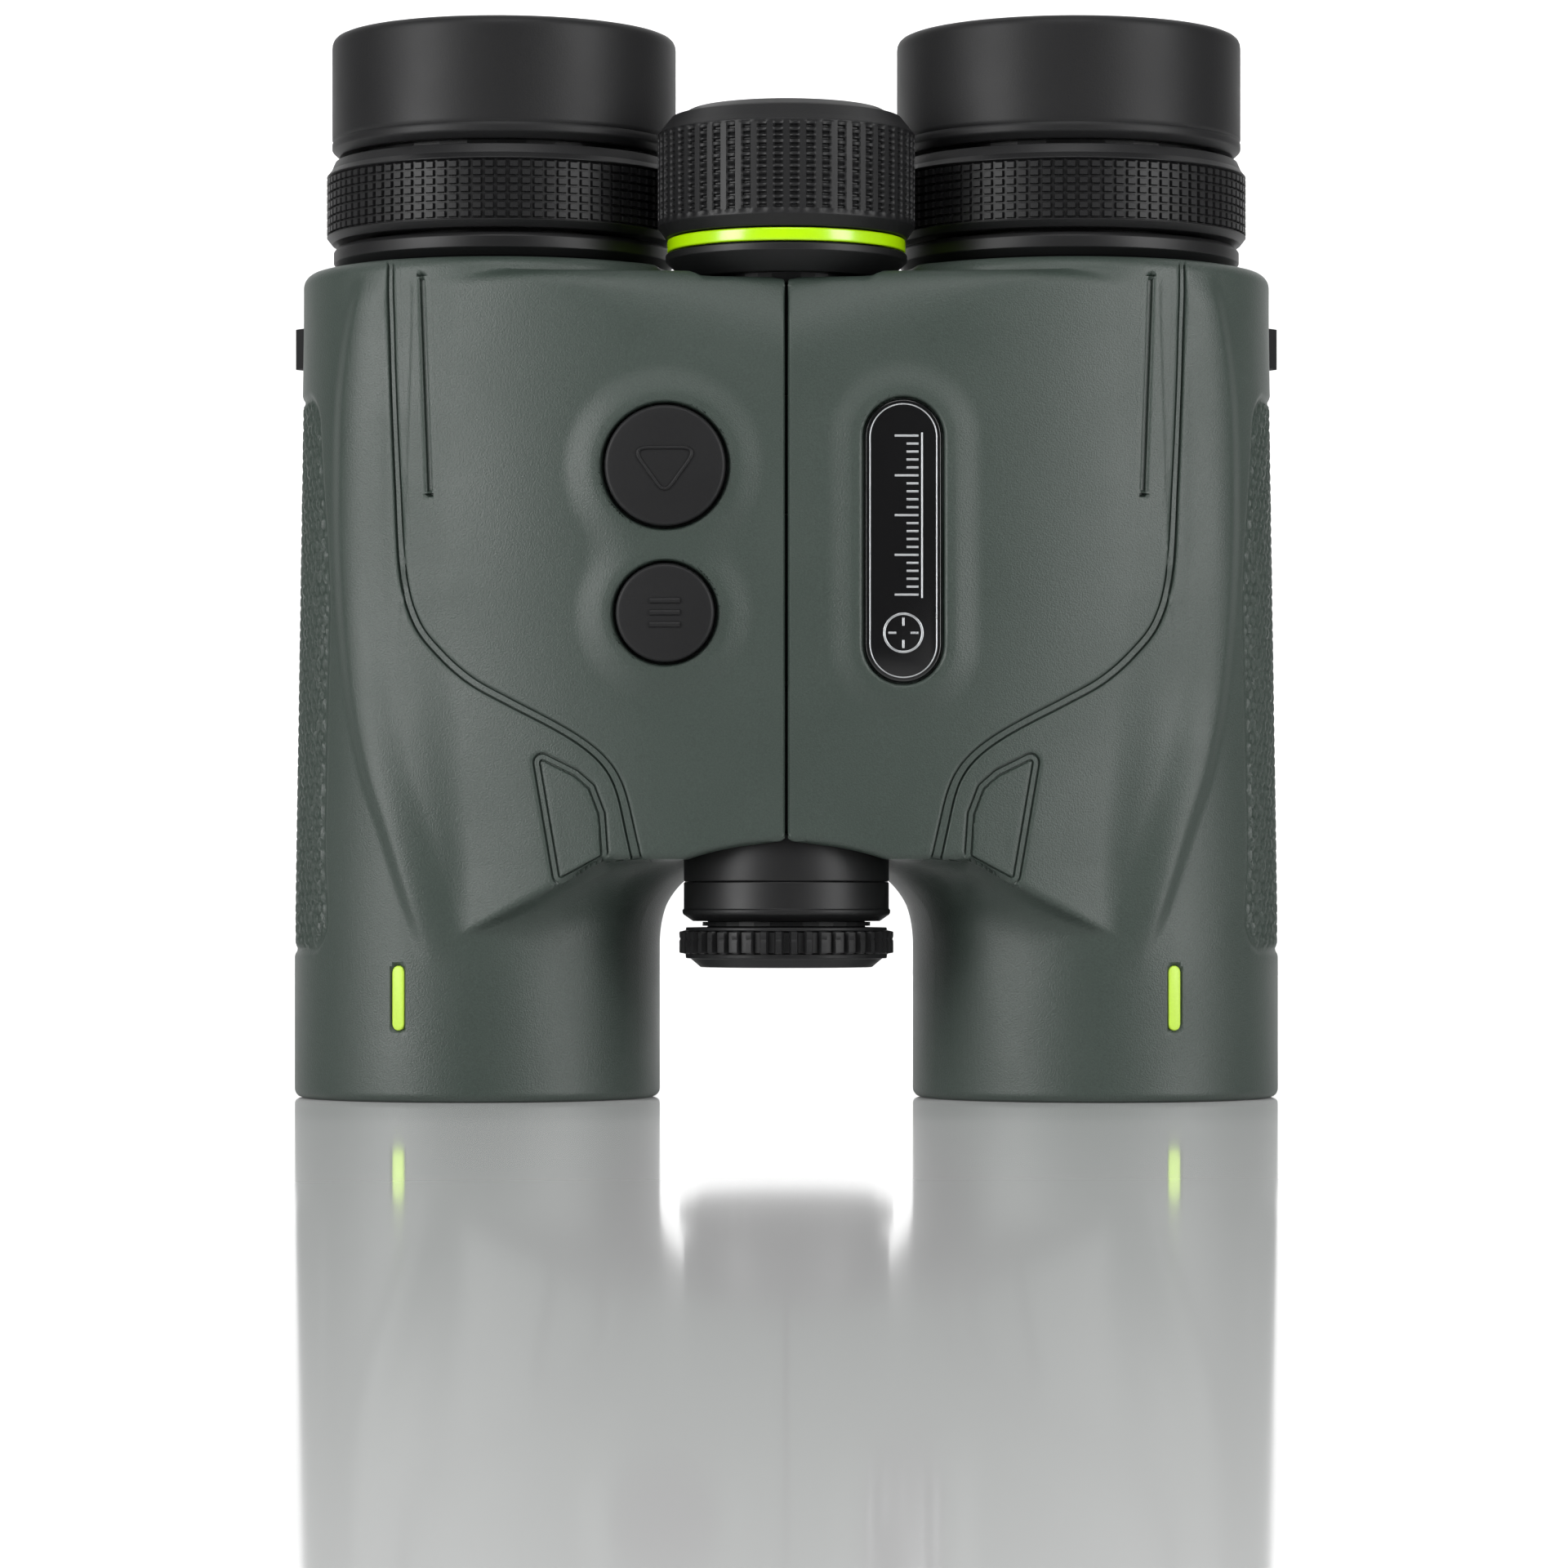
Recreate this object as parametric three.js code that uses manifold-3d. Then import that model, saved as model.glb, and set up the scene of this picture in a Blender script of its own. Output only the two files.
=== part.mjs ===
// Laser rangefinder binocular, 10x42 class, standing on its objective rims.
// Millimetres, +Z up (towards the eyepieces), -Y is the top side in use, which carries the
// focus wheel and the buttons. The origin is the centre of the bounding box's lower face.
// Left is -X and right is +X. Both barrels are built on the right and the left one is mirrored.
// In a barrel's own coordinates u runs outwards from the hinge plane and v runs back from the
// plane of the optical axes.
import * as THREE from "three";
import { mergeVertices } from "three/addons/utils/BufferGeometryUtils.js";
import Module from "manifold-3d";

const wasm = await Module();
wasm.setup();

// ---- Driving dimensions ----
const OPTICS_Y = 3.15; // plane of the optical axes
const HINGE_V = -16; // the hinge axis lies this far in front of that plane
const HINGE_Y = OPTICS_Y + HINGE_V;
const EYE_U = 37; // eyepiece axis, half the 74 mm eye spacing of the open binocular
const LENS_U = 40.5; // objective axis
const BODY_TOP = 107.5;
const EYECUP_TOP = 138.6;
const LOWER_RADIUS = 23.9; // armoured barrel at the objective
const UPPER_RADIUS = 26.2; // armoured barrel at the eyepiece
const ARMOUR = 1.3; // rubber armour thickness
const GAP = 0.3; // clearance between neighbouring pieces
const FOLD_DEG = 22.5; // each barrel swings this far to close the eye spacing to 56 mm

const BRIDGE_TOP = 105.5;
const BRIDGE_BOTTOM = 33;
const BRIDGE_BACK = -1;
const BRIDGE_CREST = -31; // front of the bridge at the seam
const BRIDGE_REACH = 47; // the bridge ends inside the barrel at this u
const BRIDGE_FALL = 0.03; // how fast the middle of the bridge falls away from the seam
const FLANK = (23 * Math.PI) / 180; // lean of the bridge's flank, which meets the barrel's front
const FLANK_DROP = 1.7; // the flank lies this much deeper at the bridge's lower end
const HINGE_RADIUS = 13.16; // the visible collar and battery housing
// The hinge below and above the top of the battery, each as [radius, clearance for the armour].
const LOWER_HINGE = [12.2, 12.7];
const UPPER_HINGE = [10.2, 10.8];
const BATTERY_TOP = 53;
const SEAM = 0.3; // half the width of the seam between the two armours
const WHEEL_ROOM = 15.8; // the body is cut away round the focus wheel, down to WHEEL_SEAT
const WHEEL_SEAT = 104.8;
const BUTTON_TILT = (2 * Math.PI) / 180;

// ---- Materials ----
function finish(color, roughness, metalness = 0) {
  return new THREE.MeshStandardMaterial({ color, roughness, metalness });
}
const armourGreen = finish(0x4a554e, 0.75);
const blackRubber = finish(0x1c1c1c, 0.8);
const blackMetal = finish(0x161616, 0.4, 0.6);
const bareMetal = finish(0xb0b2b4, 0.35, 0.9);
const accentLime = finish(0xb4e01a, 0.4);
const opticalGlass = finish(0x88a0a0, 0.05);
const boardGreen = finish(0x1d5a34, 0.6);
const blackPlastic = finish(0x202022, 0.6);

// ---- Small geometry helpers ----
function solid(geometry) {
  const bare = geometry.index ? geometry.toNonIndexed() : geometry.clone();
  bare.deleteAttribute("normal");
  bare.deleteAttribute("uv");
  const merged = mergeVertices(bare, 1e-4);
  const corners = merged.index.array;
  const kept = [];
  for (let i = 0; i < corners.length; i += 3) {
    const [a, b, c] = [corners[i], corners[i + 1], corners[i + 2]];
    if (a !== b && b !== c && a !== c) kept.push(a, b, c);
  }
  return new wasm.Manifold(
    new wasm.Mesh({
      numProp: 3,
      vertProperties: merged.attributes.position.array,
      triVerts: new Uint32Array(kept),
    }),
  );
}

// Slivers that a cut leaves beside the piece itself are dropped.
const largest = (manifold) => manifold.decompose().sort((a, b) => b.volume() - a.volume())[0];

function geometryOf(manifold, tolerance = 0.02) {
  const mesh = largest(manifold.simplify(tolerance)).getMesh();
  const geometry = new THREE.BufferGeometry();
  const position = new Float32Array(mesh.numVert * 3);
  for (let i = 0; i < mesh.numVert; i++) {
    const start = i * mesh.numProp;
    position.set(mesh.vertProperties.subarray(start, start + 3), i * 3);
  }
  geometry.setAttribute("position", new THREE.BufferAttribute(position, 3));
  geometry.setIndex(new THREE.BufferAttribute(mesh.triVerts, 1));
  geometry.computeVertexNormals();
  return geometry;
}

// A closed profile of [radius, height] pairs, counter-clockwise, turned about a vertical axis.
function turned(profile, x, y, segments = 32) {
  const points = profile.map(([r, z]) => new THREE.Vector2(r, z));
  const closes = profile[0][0] > 0;
  if (closes) points.push(points[0].clone());
  return new THREE.LatheGeometry(points, segments).rotateX(Math.PI / 2).translate(x, y, 0);
}

function ring(inner, outer, low, high, x, y, segments = 32) {
  return turned([[inner, low], [outer, low], [outer, high], [inner, high]], x, y, segments);
}

function rod(radius, low, high, x, y, segments = 32) {
  return turned([[0, low], [radius, low], [radius, high], [0, high]], x, y, segments);
}

function box(low, high) {
  const size = high.map((h, i) => h - low[i]);
  const middle = high.map((h, i) => (h + low[i]) / 2);
  return new THREE.BoxGeometry(...size).translate(...middle);
}

// A lens: sag1 and sag2 are how far its lower and upper faces bulge outwards at the middle.
function lens(radius, low, high, sag1, sag2, x, y, segments = 20) {
  const steps = 2;
  const profile = [];
  for (let i = 0; i <= steps; i++) {
    const share = i / steps;
    profile.push([radius * share, low - sag1 * (1 - share * share)]);
  }
  for (let i = steps; i >= 0; i--) {
    const share = i / steps;
    profile.push([radius * share, high + sag2 * (1 - share * share)]);
  }
  return turned(profile, x, y, segments);
}

// A flat outline extruded along +Z from low to high.
function slab(points, low, high) {
  const shape = points instanceof THREE.Shape ? points : new THREE.Shape(points);
  return new THREE.ExtrudeGeometry(shape, {
    depth: high - low,
    bevelEnabled: false,
    curveSegments: 6,
  }).translate(0, 0, low);
}

function stadium(width, height) {
  const r = width / 2;
  const straight = height / 2 - r;
  const shape = new THREE.Shape();
  shape.absarc(0, straight, r, 0, Math.PI, false);
  shape.absarc(0, -straight, r, Math.PI, 2 * Math.PI, false);
  return shape;
}

// Turns a solid that stands on z = 0 so that its +Z points along a horizontal outward
// direction, leaning by tilt from the front towards +u, with its origin at (u, v, z).
function facing(geometry, tilt, u, v, z) {
  return geometry
    .rotateX(Math.PI / 2)
    .rotateZ(tilt)
    .translate(u, OPTICS_Y + v, z);
}

// ---- The body's outer form, as a distance field in (u, v, z) ----
const clamp01 = (t) => Math.min(1, Math.max(0, t));
const smooth = (t) => t * t * (3 - 2 * t);

function softMin(a, b, k) {
  const h = Math.max(k - Math.abs(a - b), 0) / k;
  return Math.min(a, b) - (h * h * k) / 4;
}
const softMax = (a, b, k) => -softMin(-a, -b, k);

function barrelAt(z) {
  const share = clamp01((z - 25) / 75);
  return {
    u: LENS_U + (EYE_U - LENS_U) * share,
    radius: LOWER_RADIUS + (UPPER_RADIUS - LOWER_RADIUS) * share,
  };
}

// The front of the bridge: nearly flat from its crest at the seam, then a leaning flank that
// touches the barrel's front.
function bridgeFront(u, z) {
  const { u: centre, radius } = barrelAt(z);
  const middle = BRIDGE_CREST + BRIDGE_FALL * u;
  const touching = ((u - centre) * Math.sin(FLANK) - radius) / Math.cos(FLANK);
  const flank = touching + FLANK_DROP * clamp01((65 - z) / 35);
  return softMax(middle, flank, 5);
}

// The scoop below the focus wheel is a plane through three points of (u, v, z).
const scoop = new THREE.Plane().setFromCoplanarPoints(
  new THREE.Vector3(2, bridgeFront(2, 98), 98),
  new THREE.Vector3(28, bridgeFront(28, 105.5), 105.5),
  new THREE.Vector3(2, bridgeFront(2, 98) + 4, 106),
);
if (scoop.normal.y > 0) scoop.negate();

function bodyDistance(u, v, z) {
  const barrel = barrelAt(z);
  const toBarrel = Math.hypot(u - barrel.u, v) - barrel.radius;
  const bottom = BRIDGE_BOTTOM - 0.55 * Math.max(u - 19, 0);
  const front = bridgeFront(u, z) - v;
  let bridge = softMax(front, v - BRIDGE_BACK, 4);
  bridge = softMax(bridge, bottom - z, 1.2);
  bridge = softMax(bridge, z - BRIDGE_TOP, 2.5);
  bridge = Math.max(bridge, -4 - u, u - BRIDGE_REACH);
  const low = (1 - smooth(clamp01((z - 34) / 14))) * smooth(clamp01((40 - u) / 12));
  const back = smooth(clamp01((v + 24) / 14));
  const blend = 0.6 + Math.max(7 * low, 10.4 * back);
  const d = softMin(toBarrel, bridge, blend);
  return softMax(d, scoop.distanceToPoint(new THREE.Vector3(u, v, z)), 2);
}

// How far an edge rounded to a radius draws back at a distance below that edge.
function drawBack(distance, radius) {
  const rest = Math.max(radius - distance, 0);
  return radius - Math.sqrt(radius * radius - rest * rest);
}

// Directions from the barrel's axis at a height, starting at the front corner of the seam.
function spokesAt(z) {
  const { u: centre } = barrelAt(z);
  const corner = Math.atan2(BRIDGE_CREST, -2.5 - centre);
  const stops = [corner, -Math.PI / 2, Math.PI / 2, corner + 2 * Math.PI];
  const steps = [8, 13, 11];
  const angles = [];
  steps.forEach((count, i) => {
    for (let k = 0; k < count; k++) angles.push(stops[i] + ((stops[i + 1] - stops[i]) * k) / count);
  });
  return angles;
}

// The solid inside the level surface bodyDistance = -inset, between two heights.
function bodyForm(inset, low, high) {
  const inner = [10, 18, 21.5, 24, 26.5, 29, 31, 32.6, 34, 38, 46, 60, 78, 92, 96, 99, 101.5, 103.7];
  const heights = [low, low + 0.3, low + 1.2, ...inner, high - 1.1, high - 0.3, high];
  const spokes = spokesAt(0).length;
  const points = [];
  for (const z of heights) {
    const { u: centre } = barrelAt(z);
    const depth = inset + drawBack(z - low, 1.2) + drawBack(high - z, 1.8);
    for (const angle of spokesAt(z)) {
      const [du, dv] = [Math.cos(angle), Math.sin(angle)];
      let [near, far] = [4, 60];
      for (let step = 0; step < 24; step++) {
        const middle = (near + far) / 2;
        const inside = bodyDistance(centre + middle * du, middle * dv, z) < -depth;
        if (inside) near = middle;
        else far = middle;
      }
      points.push(centre + near * du, OPTICS_Y + near * dv, z);
    }
  }
  const rings = heights.length;
  points.push(barrelAt(low).u, OPTICS_Y, low, barrelAt(high).u, OPTICS_Y, high);
  const [base, crown] = [rings * spokes, rings * spokes + 1];
  const faces = [];
  for (let i = 0; i < spokes; i++) {
    const next = (i + 1) % spokes;
    faces.push(base, next, i);
    faces.push(crown, (rings - 1) * spokes + i, (rings - 1) * spokes + next);
    for (let k = 0; k + 1 < rings; k++) {
      const [a, b] = [k * spokes + i, k * spokes + next];
      faces.push(a, b, b + spokes, a, b + spokes, a + spokes);
    }
  }
  return new wasm.Manifold(
    new wasm.Mesh({
      numProp: 3,
      vertProperties: new Float32Array(points),
      triVerts: new Uint32Array(faces),
    }),
  );
}

// The gap at the back of the hinge that lets the two barrels fold towards each other.
function foldGap(margin) {
  const edge = ((180 - FOLD_DEG - margin) * Math.PI) / 180;
  const reach = 30;
  const points = [
    new THREE.Vector2(0, 0),
    new THREE.Vector2(reach * Math.sin(edge), -reach * Math.cos(edge)),
    new THREE.Vector2(-reach, reach),
  ];
  return solid(slab(points, -1, 120).translate(0, HINGE_Y, 0));
}
// The room round the hinge, widened by a margin, from a height upwards.
function hingeRoom(margin, low) {
  const profile = [
    [0, low],
    [HINGE_RADIUS + GAP + margin, low],
    [HINGE_RADIUS + GAP + margin, 34 + margin],
    [LOWER_HINGE[1] + margin, 34 + margin],
    [LOWER_HINGE[1] + margin, BATTERY_TOP + margin],
    [UPPER_HINGE[1] + margin, BATTERY_TOP + 0.1 + margin],
    [UPPER_HINGE[1] + margin, 120],
    [0, 120],
  ];
  return solid(turned(profile, 0, HINGE_Y, 40));
}
const seamCut = (half) => solid(box([-20, -60, -1], [half, 60, 120]));

// ---- Outer fittings: where they sit on the body ----
const BUTTON_U = 15.2;
const BUTTONS = [
  { name: "measure_button", z: 80.4, radius: 7.6 },
  { name: "mode_button", z: 61.9, radius: 6.2 },
];
const BUTTON_PROUD = 1.7;
const BUTTON_DEPTH = 1.0; // how far a button reaches below the surface
const BUTTON_POCKET = 2.6;
const BADGE = { u: 14.7, z: 71, width: 9.7, height: 35.7, thick: 0.8 };
const ACCENT = { angle: 0.384, z: 13.3, width: 1.7, height: 8.3, thick: 0.7 };
const LUG = { angle: (35 * Math.PI) / 180, low: 96.6, high: 101.9 };

function accentAt(geometry, inset) {
  const { angle, z } = ACCENT;
  const reach = LOWER_RADIUS - inset;
  return facing(geometry, angle, LENS_U + reach * Math.sin(angle), -reach * Math.cos(angle), z);
}

function badgeAt(geometry, inset) {
  const v = bridgeFront(BADGE.u, BADGE.z) + inset;
  return facing(geometry, BUTTON_TILT, BADGE.u, v, BADGE.z);
}

function buttonAt(geometry, z, inset) {
  const u = BUTTON_U - inset * Math.sin(BUTTON_TILT);
  return facing(geometry, BUTTON_TILT, u, bridgeFront(BUTTON_U, z) + inset, z);
}

// The lug's outline in its own plane: x runs round the barrel and y runs outwards.
function lugShape(halfSpan, inner, outer, slot) {
  const corner = 1.2;
  const shape = new THREE.Shape();
  shape.moveTo(-halfSpan, inner);
  shape.lineTo(halfSpan, inner);
  shape.lineTo(halfSpan - 1.5, outer - corner);
  shape.quadraticCurveTo(halfSpan - 1.7, outer, halfSpan - 1.7 - corner, outer);
  shape.lineTo(-halfSpan + 1.7 + corner, outer);
  shape.quadraticCurveTo(-halfSpan + 1.7, outer, -halfSpan + 1.5, outer - corner);
  shape.closePath();
  if (slot) {
    const hole = new THREE.Path();
    hole.moveTo(-5, 26.6);
    hole.lineTo(-5, 29);
    hole.lineTo(5, 29);
    hole.lineTo(5, 26.6);
    hole.closePath();
    shape.holes.push(hole);
  }
  return shape;
}

function lugAt(geometry) {
  return geometry.rotateZ(LUG.angle - Math.PI / 2).translate(EYE_U, OPTICS_Y, 0);
}

// ---- Pieces of one barrel, in right-hand coordinates ----
const ARM_Z = 65; // middle of the focus carriage's travel
// Each knuckle as [low, high, bore, radius].
const LEFT_KNUCKLES = [[34.3, 52, 9.8, LOWER_HINGE[0]], [90, 103.6, 6.3, UPPER_HINGE[0]]];
const RIGHT_KNUCKLES = [[75, 89.6, 6.3, UPPER_HINGE[0]]];
const barrelAxisAtArm = barrelAt(ARM_Z).u;

function armour(cutters) {
  let shell = bodyForm(0, 0, BODY_TOP);
  const inside = bodyForm(ARMOUR, ARMOUR + 0.1, BODY_TOP - ARMOUR);
  shell = shell.subtract(inside);
  shell = shell.subtract(hingeRoom(0, -1));
  shell = shell.subtract(foldGap(3)).subtract(seamCut(SEAM));
  shell = shell.subtract(solid(rod(WHEEL_ROOM, WHEEL_SEAT, 120, 0, HINGE_Y)));
  shell = shell.subtract(solid(rod(21.4, -1, 5, LENS_U, OPTICS_Y)));
  shell = shell.subtract(solid(rod(20.6, 100, 120, EYE_U, OPTICS_Y)));
  for (const cutter of cutters) shell = shell.subtract(cutter);
  return geometryOf(shell, 0.07);
}

function chassis(knuckles, cutters) {
  const inset = ARMOUR + GAP;
  const form = bodyForm(inset, 2, BODY_TOP - inset);
  const cleared = form
    .subtract(hingeRoom(0.9, -1))
    .subtract(foldGap(5));
  let body = cleared.subtract(seamCut(1.5));
  for (const [low, high, bore, radius] of knuckles) {
    const arm = form
      .intersect(solid(ring(bore, radius + 4, low, high, 0, HINGE_Y)))
      .subtract(seamCut(4))
      .subtract(foldGap(8));
    const eye = solid(ring(bore, radius, low, high, 0, HINGE_Y));
    body = body.add(arm).add(eye);
  }
  const bores = [
    rod(21.4, -1, 30, LENS_U, OPTICS_Y),
    rod(19.6, 29, 57, barrelAt(43).u, OPTICS_Y, 28),
    rod(18.3, 56, 77, barrelAxisAtArm, OPTICS_Y, 28),
    box([23, OPTICS_Y - 16.5, 76], [51, OPTICS_Y + 16, 96]),
    box([28, OPTICS_Y, 77], [48, OPTICS_Y + 18, 95]),
    rod(15.95, 95, 120, EYE_U, OPTICS_Y, 28),
    rod(WHEEL_ROOM + GAP, WHEEL_SEAT - GAP, 120, 0, HINGE_Y),
  ];
  for (const bore of bores) body = body.subtract(solid(bore));
  body = body.subtract(solid(focusArm(4, 7.5, 13.5)));
  for (const cutter of cutters) body = body.subtract(cutter);
  return geometryOf(body, 0.12);
}

// The flat arm from the focus cell to the carriage's groove, or the window it moves in.
function focusArm(start, width, height) {
  const angle = Math.atan2(-HINGE_V, barrelAxisAtArm);
  const length = Math.hypot(HINGE_V, barrelAxisAtArm) - 16.5;
  return box([start, -width / 2, -height / 2], [length, width / 2, height / 2])
    .rotateZ(angle)
    .translate(0, HINGE_Y, ARM_Z);
}

function focusCell() {
  const cell = solid(ring(15.4, 17.9, ARM_Z - 4, ARM_Z + 4, barrelAxisAtArm, OPTICS_Y, 28));
  const arm = solid(focusArm(4, 5, 2));
  const groove = solid(rod(7.7, 0, 120, 0, HINGE_Y, 32));
  const inside = solid(rod(15.4, 0, 120, barrelAxisAtArm, OPTICS_Y, 28));
  return geometryOf(cell.add(arm).subtract(groove).subtract(inside));
}

function eyecup() {
  const profile = [
    [19.7, 122.7],
    [21.7, 122.7],
    [22.5, 123.7],
    [22.5, EYECUP_TOP - 1.4],
    [22.1, EYECUP_TOP - 0.4],
    [21.2, EYECUP_TOP],
    [19.6, EYECUP_TOP - 0.1],
    [18, EYECUP_TOP - 1.2],
    [16, EYECUP_TOP - 3.4],
    [16, EYECUP_TOP - 4.4],
    [19.7, EYECUP_TOP - 4.4],
  ];
  return turned(profile, EYE_U, OPTICS_Y);
}

const dioptreProfile = [
  [19.7, 111.5],
  [22.4, 111.5],
  [23.2, 112.5],
  [23.2, 120],
  [22.5, 120.9],
  [22.2, 122.1],
  [19.7, 122.1],
];

const eyepieceBaseProfile = [
  [15.95, 106.2],
  [20.3, 106.2],
  [20.3, 107.8],
  [21.3, 107.8],
  [22.3, 108.8],
  [22.3, 110.3],
  [21.9, 110.9],
  [17.2, 110.9],
  [17.2, 127.5],
  [15.95, 127.5],
];

const ocularBarrelProfile = [
  [14.1, 96.6],
  [15.65, 96.6],
  [15.65, 129],
  [12.6, 129],
  [12.6, 128.4],
  [14.1, 127],
];

function prismCage() {
  const low = [24, OPTICS_Y - 15.5, 77];
  const high = [50, OPTICS_Y + 7.6, 95];
  const frame = solid(box(low, high));
  const room = solid(box([26, OPTICS_Y - 13.5, 70], [48, OPTICS_Y + 5.6, 100]));
  return geometryOf(frame.subtract(room));
}

// Two prisms, extruded across the barrel, with an air gap on the slant between them.
function prism(points) {
  const outline = points.map(([y, z]) => new THREE.Vector2(y, z));
  const geometry = slab(outline, 0, 16);
  // The outline's x becomes the depth and its y the height.
  return geometry.rotateX(Math.PI / 2).rotateZ(Math.PI / 2).translate(29, OPTICS_Y, 0);
}

function barrelPieces(knuckles, armourCutters, chassisCutters) {
  const lugCut = () => lugAt(slab(lugShape(8, 23.9, 32, false), LUG.low - GAP, LUG.high + GAP));
  const accentCut = () => accentAt(slab(stadium(2.3, 8.9), 0, 3), ACCENT.thick + 0.25);
  return {
    armour: [armour([...armourCutters, solid(lugCut()), solid(accentCut())]), armourGreen],
    chassis: [chassis(knuckles, [...chassisCutters, solid(lugCut())]), blackPlastic],
    objective_retainer: [ring(20.2, 21.1, 3.2, 6.4, LENS_U, OPTICS_Y), blackMetal],
    objective_lens: [lens(21.1, 6.7, 13.5, 2.2, 0.8, LENS_U, OPTICS_Y), opticalGlass],
    focus_cell: [focusCell(), blackMetal],
    focus_lens: [lens(15.1, 63, 66, 0.6, 0.6, barrelAxisAtArm, OPTICS_Y), opticalGlass],
    prism_cage: [prismCage(), blackMetal],
    roof_prism: [prism([[-13, 77.6], [5, 77.6], [-13, 93.6]]), opticalGlass],
    relay_prism: [prism([[5, 79], [5, 94.6], [-12.4, 94.6]]), opticalGlass],
    ocular_barrel: [turned(ocularBarrelProfile, EYE_U, OPTICS_Y, 28), blackMetal],
    field_lens: [lens(13.8, 100, 103, 0.5, 1.4, EYE_U, OPTICS_Y), opticalGlass],
    eye_lens: [lens(13.8, 122.5, 126.2, 0.6, 1, EYE_U, OPTICS_Y), opticalGlass],
    eyepiece_base: [turned(eyepieceBaseProfile, EYE_U, OPTICS_Y), blackMetal],
    dioptre_ring: [turned(dioptreProfile, EYE_U, OPTICS_Y), blackRubber],
    eyecup_slider: [ring(17.5, 19.4, 112.5, 133.9, EYE_U, OPTICS_Y), blackMetal],
    eyecup: [eyecup(), blackRubber],
    strap_lug: [lugAt(slab(lugShape(7.6, 24.3, 31.1, true), LUG.low, LUG.high)), blackPlastic],
    accent_insert: [accentAt(slab(stadium(1.7, 8.3), 0, 0.7), ACCENT.thick - 0.05), accentLime],
  };
}

// ---- The whole ----
const part = new THREE.Group();

function put(group, name, geometry, material) {
  const mesh = new THREE.Mesh(geometry, material);
  mesh.name = name;
  group.add(mesh);
}

function buttonCutters(clearance, depth) {
  return BUTTONS.map(({ z, radius }) =>
    solid(buttonAt(rod(radius + clearance, 0, depth + 8, 0, 0, 28), z, depth)),
  );
}

function buttonBoard(clearance) {
  const [halfWidth, halfHeight] = [4 + clearance, 17.5 + clearance];
  const board = box([-halfWidth, -halfHeight, -clearance], [halfWidth, halfHeight, 0.8 + clearance]);
  return buttonAt(board, 72, 4.4);
}

function leftBarrel() {
  const group = new THREE.Group();
  group.scale.x = -1;
  const boardPocket = solid(buttonBoard(GAP)).add(solid(buttonAt(box([-3, -16, 0], [3, 16, 4]), 72, 4.4)));
  const pieces = barrelPieces(
    LEFT_KNUCKLES,
    buttonCutters(GAP, BUTTON_POCKET),
    [...buttonCutters(GAP, BUTTON_POCKET), boardPocket],
  );
  for (const [name, made] of Object.entries(pieces)) put(group, `left_${name}`, ...made);
  for (const { name, z, radius } of BUTTONS) {
    const length = BUTTON_DEPTH + BUTTON_PROUD;
    const profile = [[0, 0], [radius, 0], [radius, length - 0.6], [radius - 0.5, length], [0, length + 0.1]];
    put(group, name, buttonAt(turned(profile, 0, 0, 32), z, BUTTON_DEPTH), blackRubber);
  }
  put(group, "button_board", buttonBoard(0), boardGreen);
  put(group, "laser_emitter", rod(3.4, 78, 92, 38, OPTICS_Y + 11.6, 20), bareMetal);
  return group;
}

function rightBarrel() {
  const group = new THREE.Group();
  const badgePocket = solid(badgeAt(slab(stadium(10.3, 36.3), 0, 4), BADGE.thick + 0.15));
  const pieces = barrelPieces(RIGHT_KNUCKLES, [badgePocket], [badgePocket]);
  for (const [name, made] of Object.entries(pieces)) put(group, `right_${name}`, ...made);
  const badge = slab(stadium(BADGE.width, BADGE.height), 0, BADGE.thick);
  put(group, "badge_plate", badgeAt(badge, BADGE.thick - 0.15), blackPlastic);
  put(group, "laser_receiver", rod(3.4, 78, 92, 38, OPTICS_Y + 11.6, 20), bareMetal);
  const board = box([29, OPTICS_Y + 16.2, 78], [47, OPTICS_Y + 17.4, 94]);
  put(group, "main_board", board, boardGreen);
  return group;
}

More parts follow.
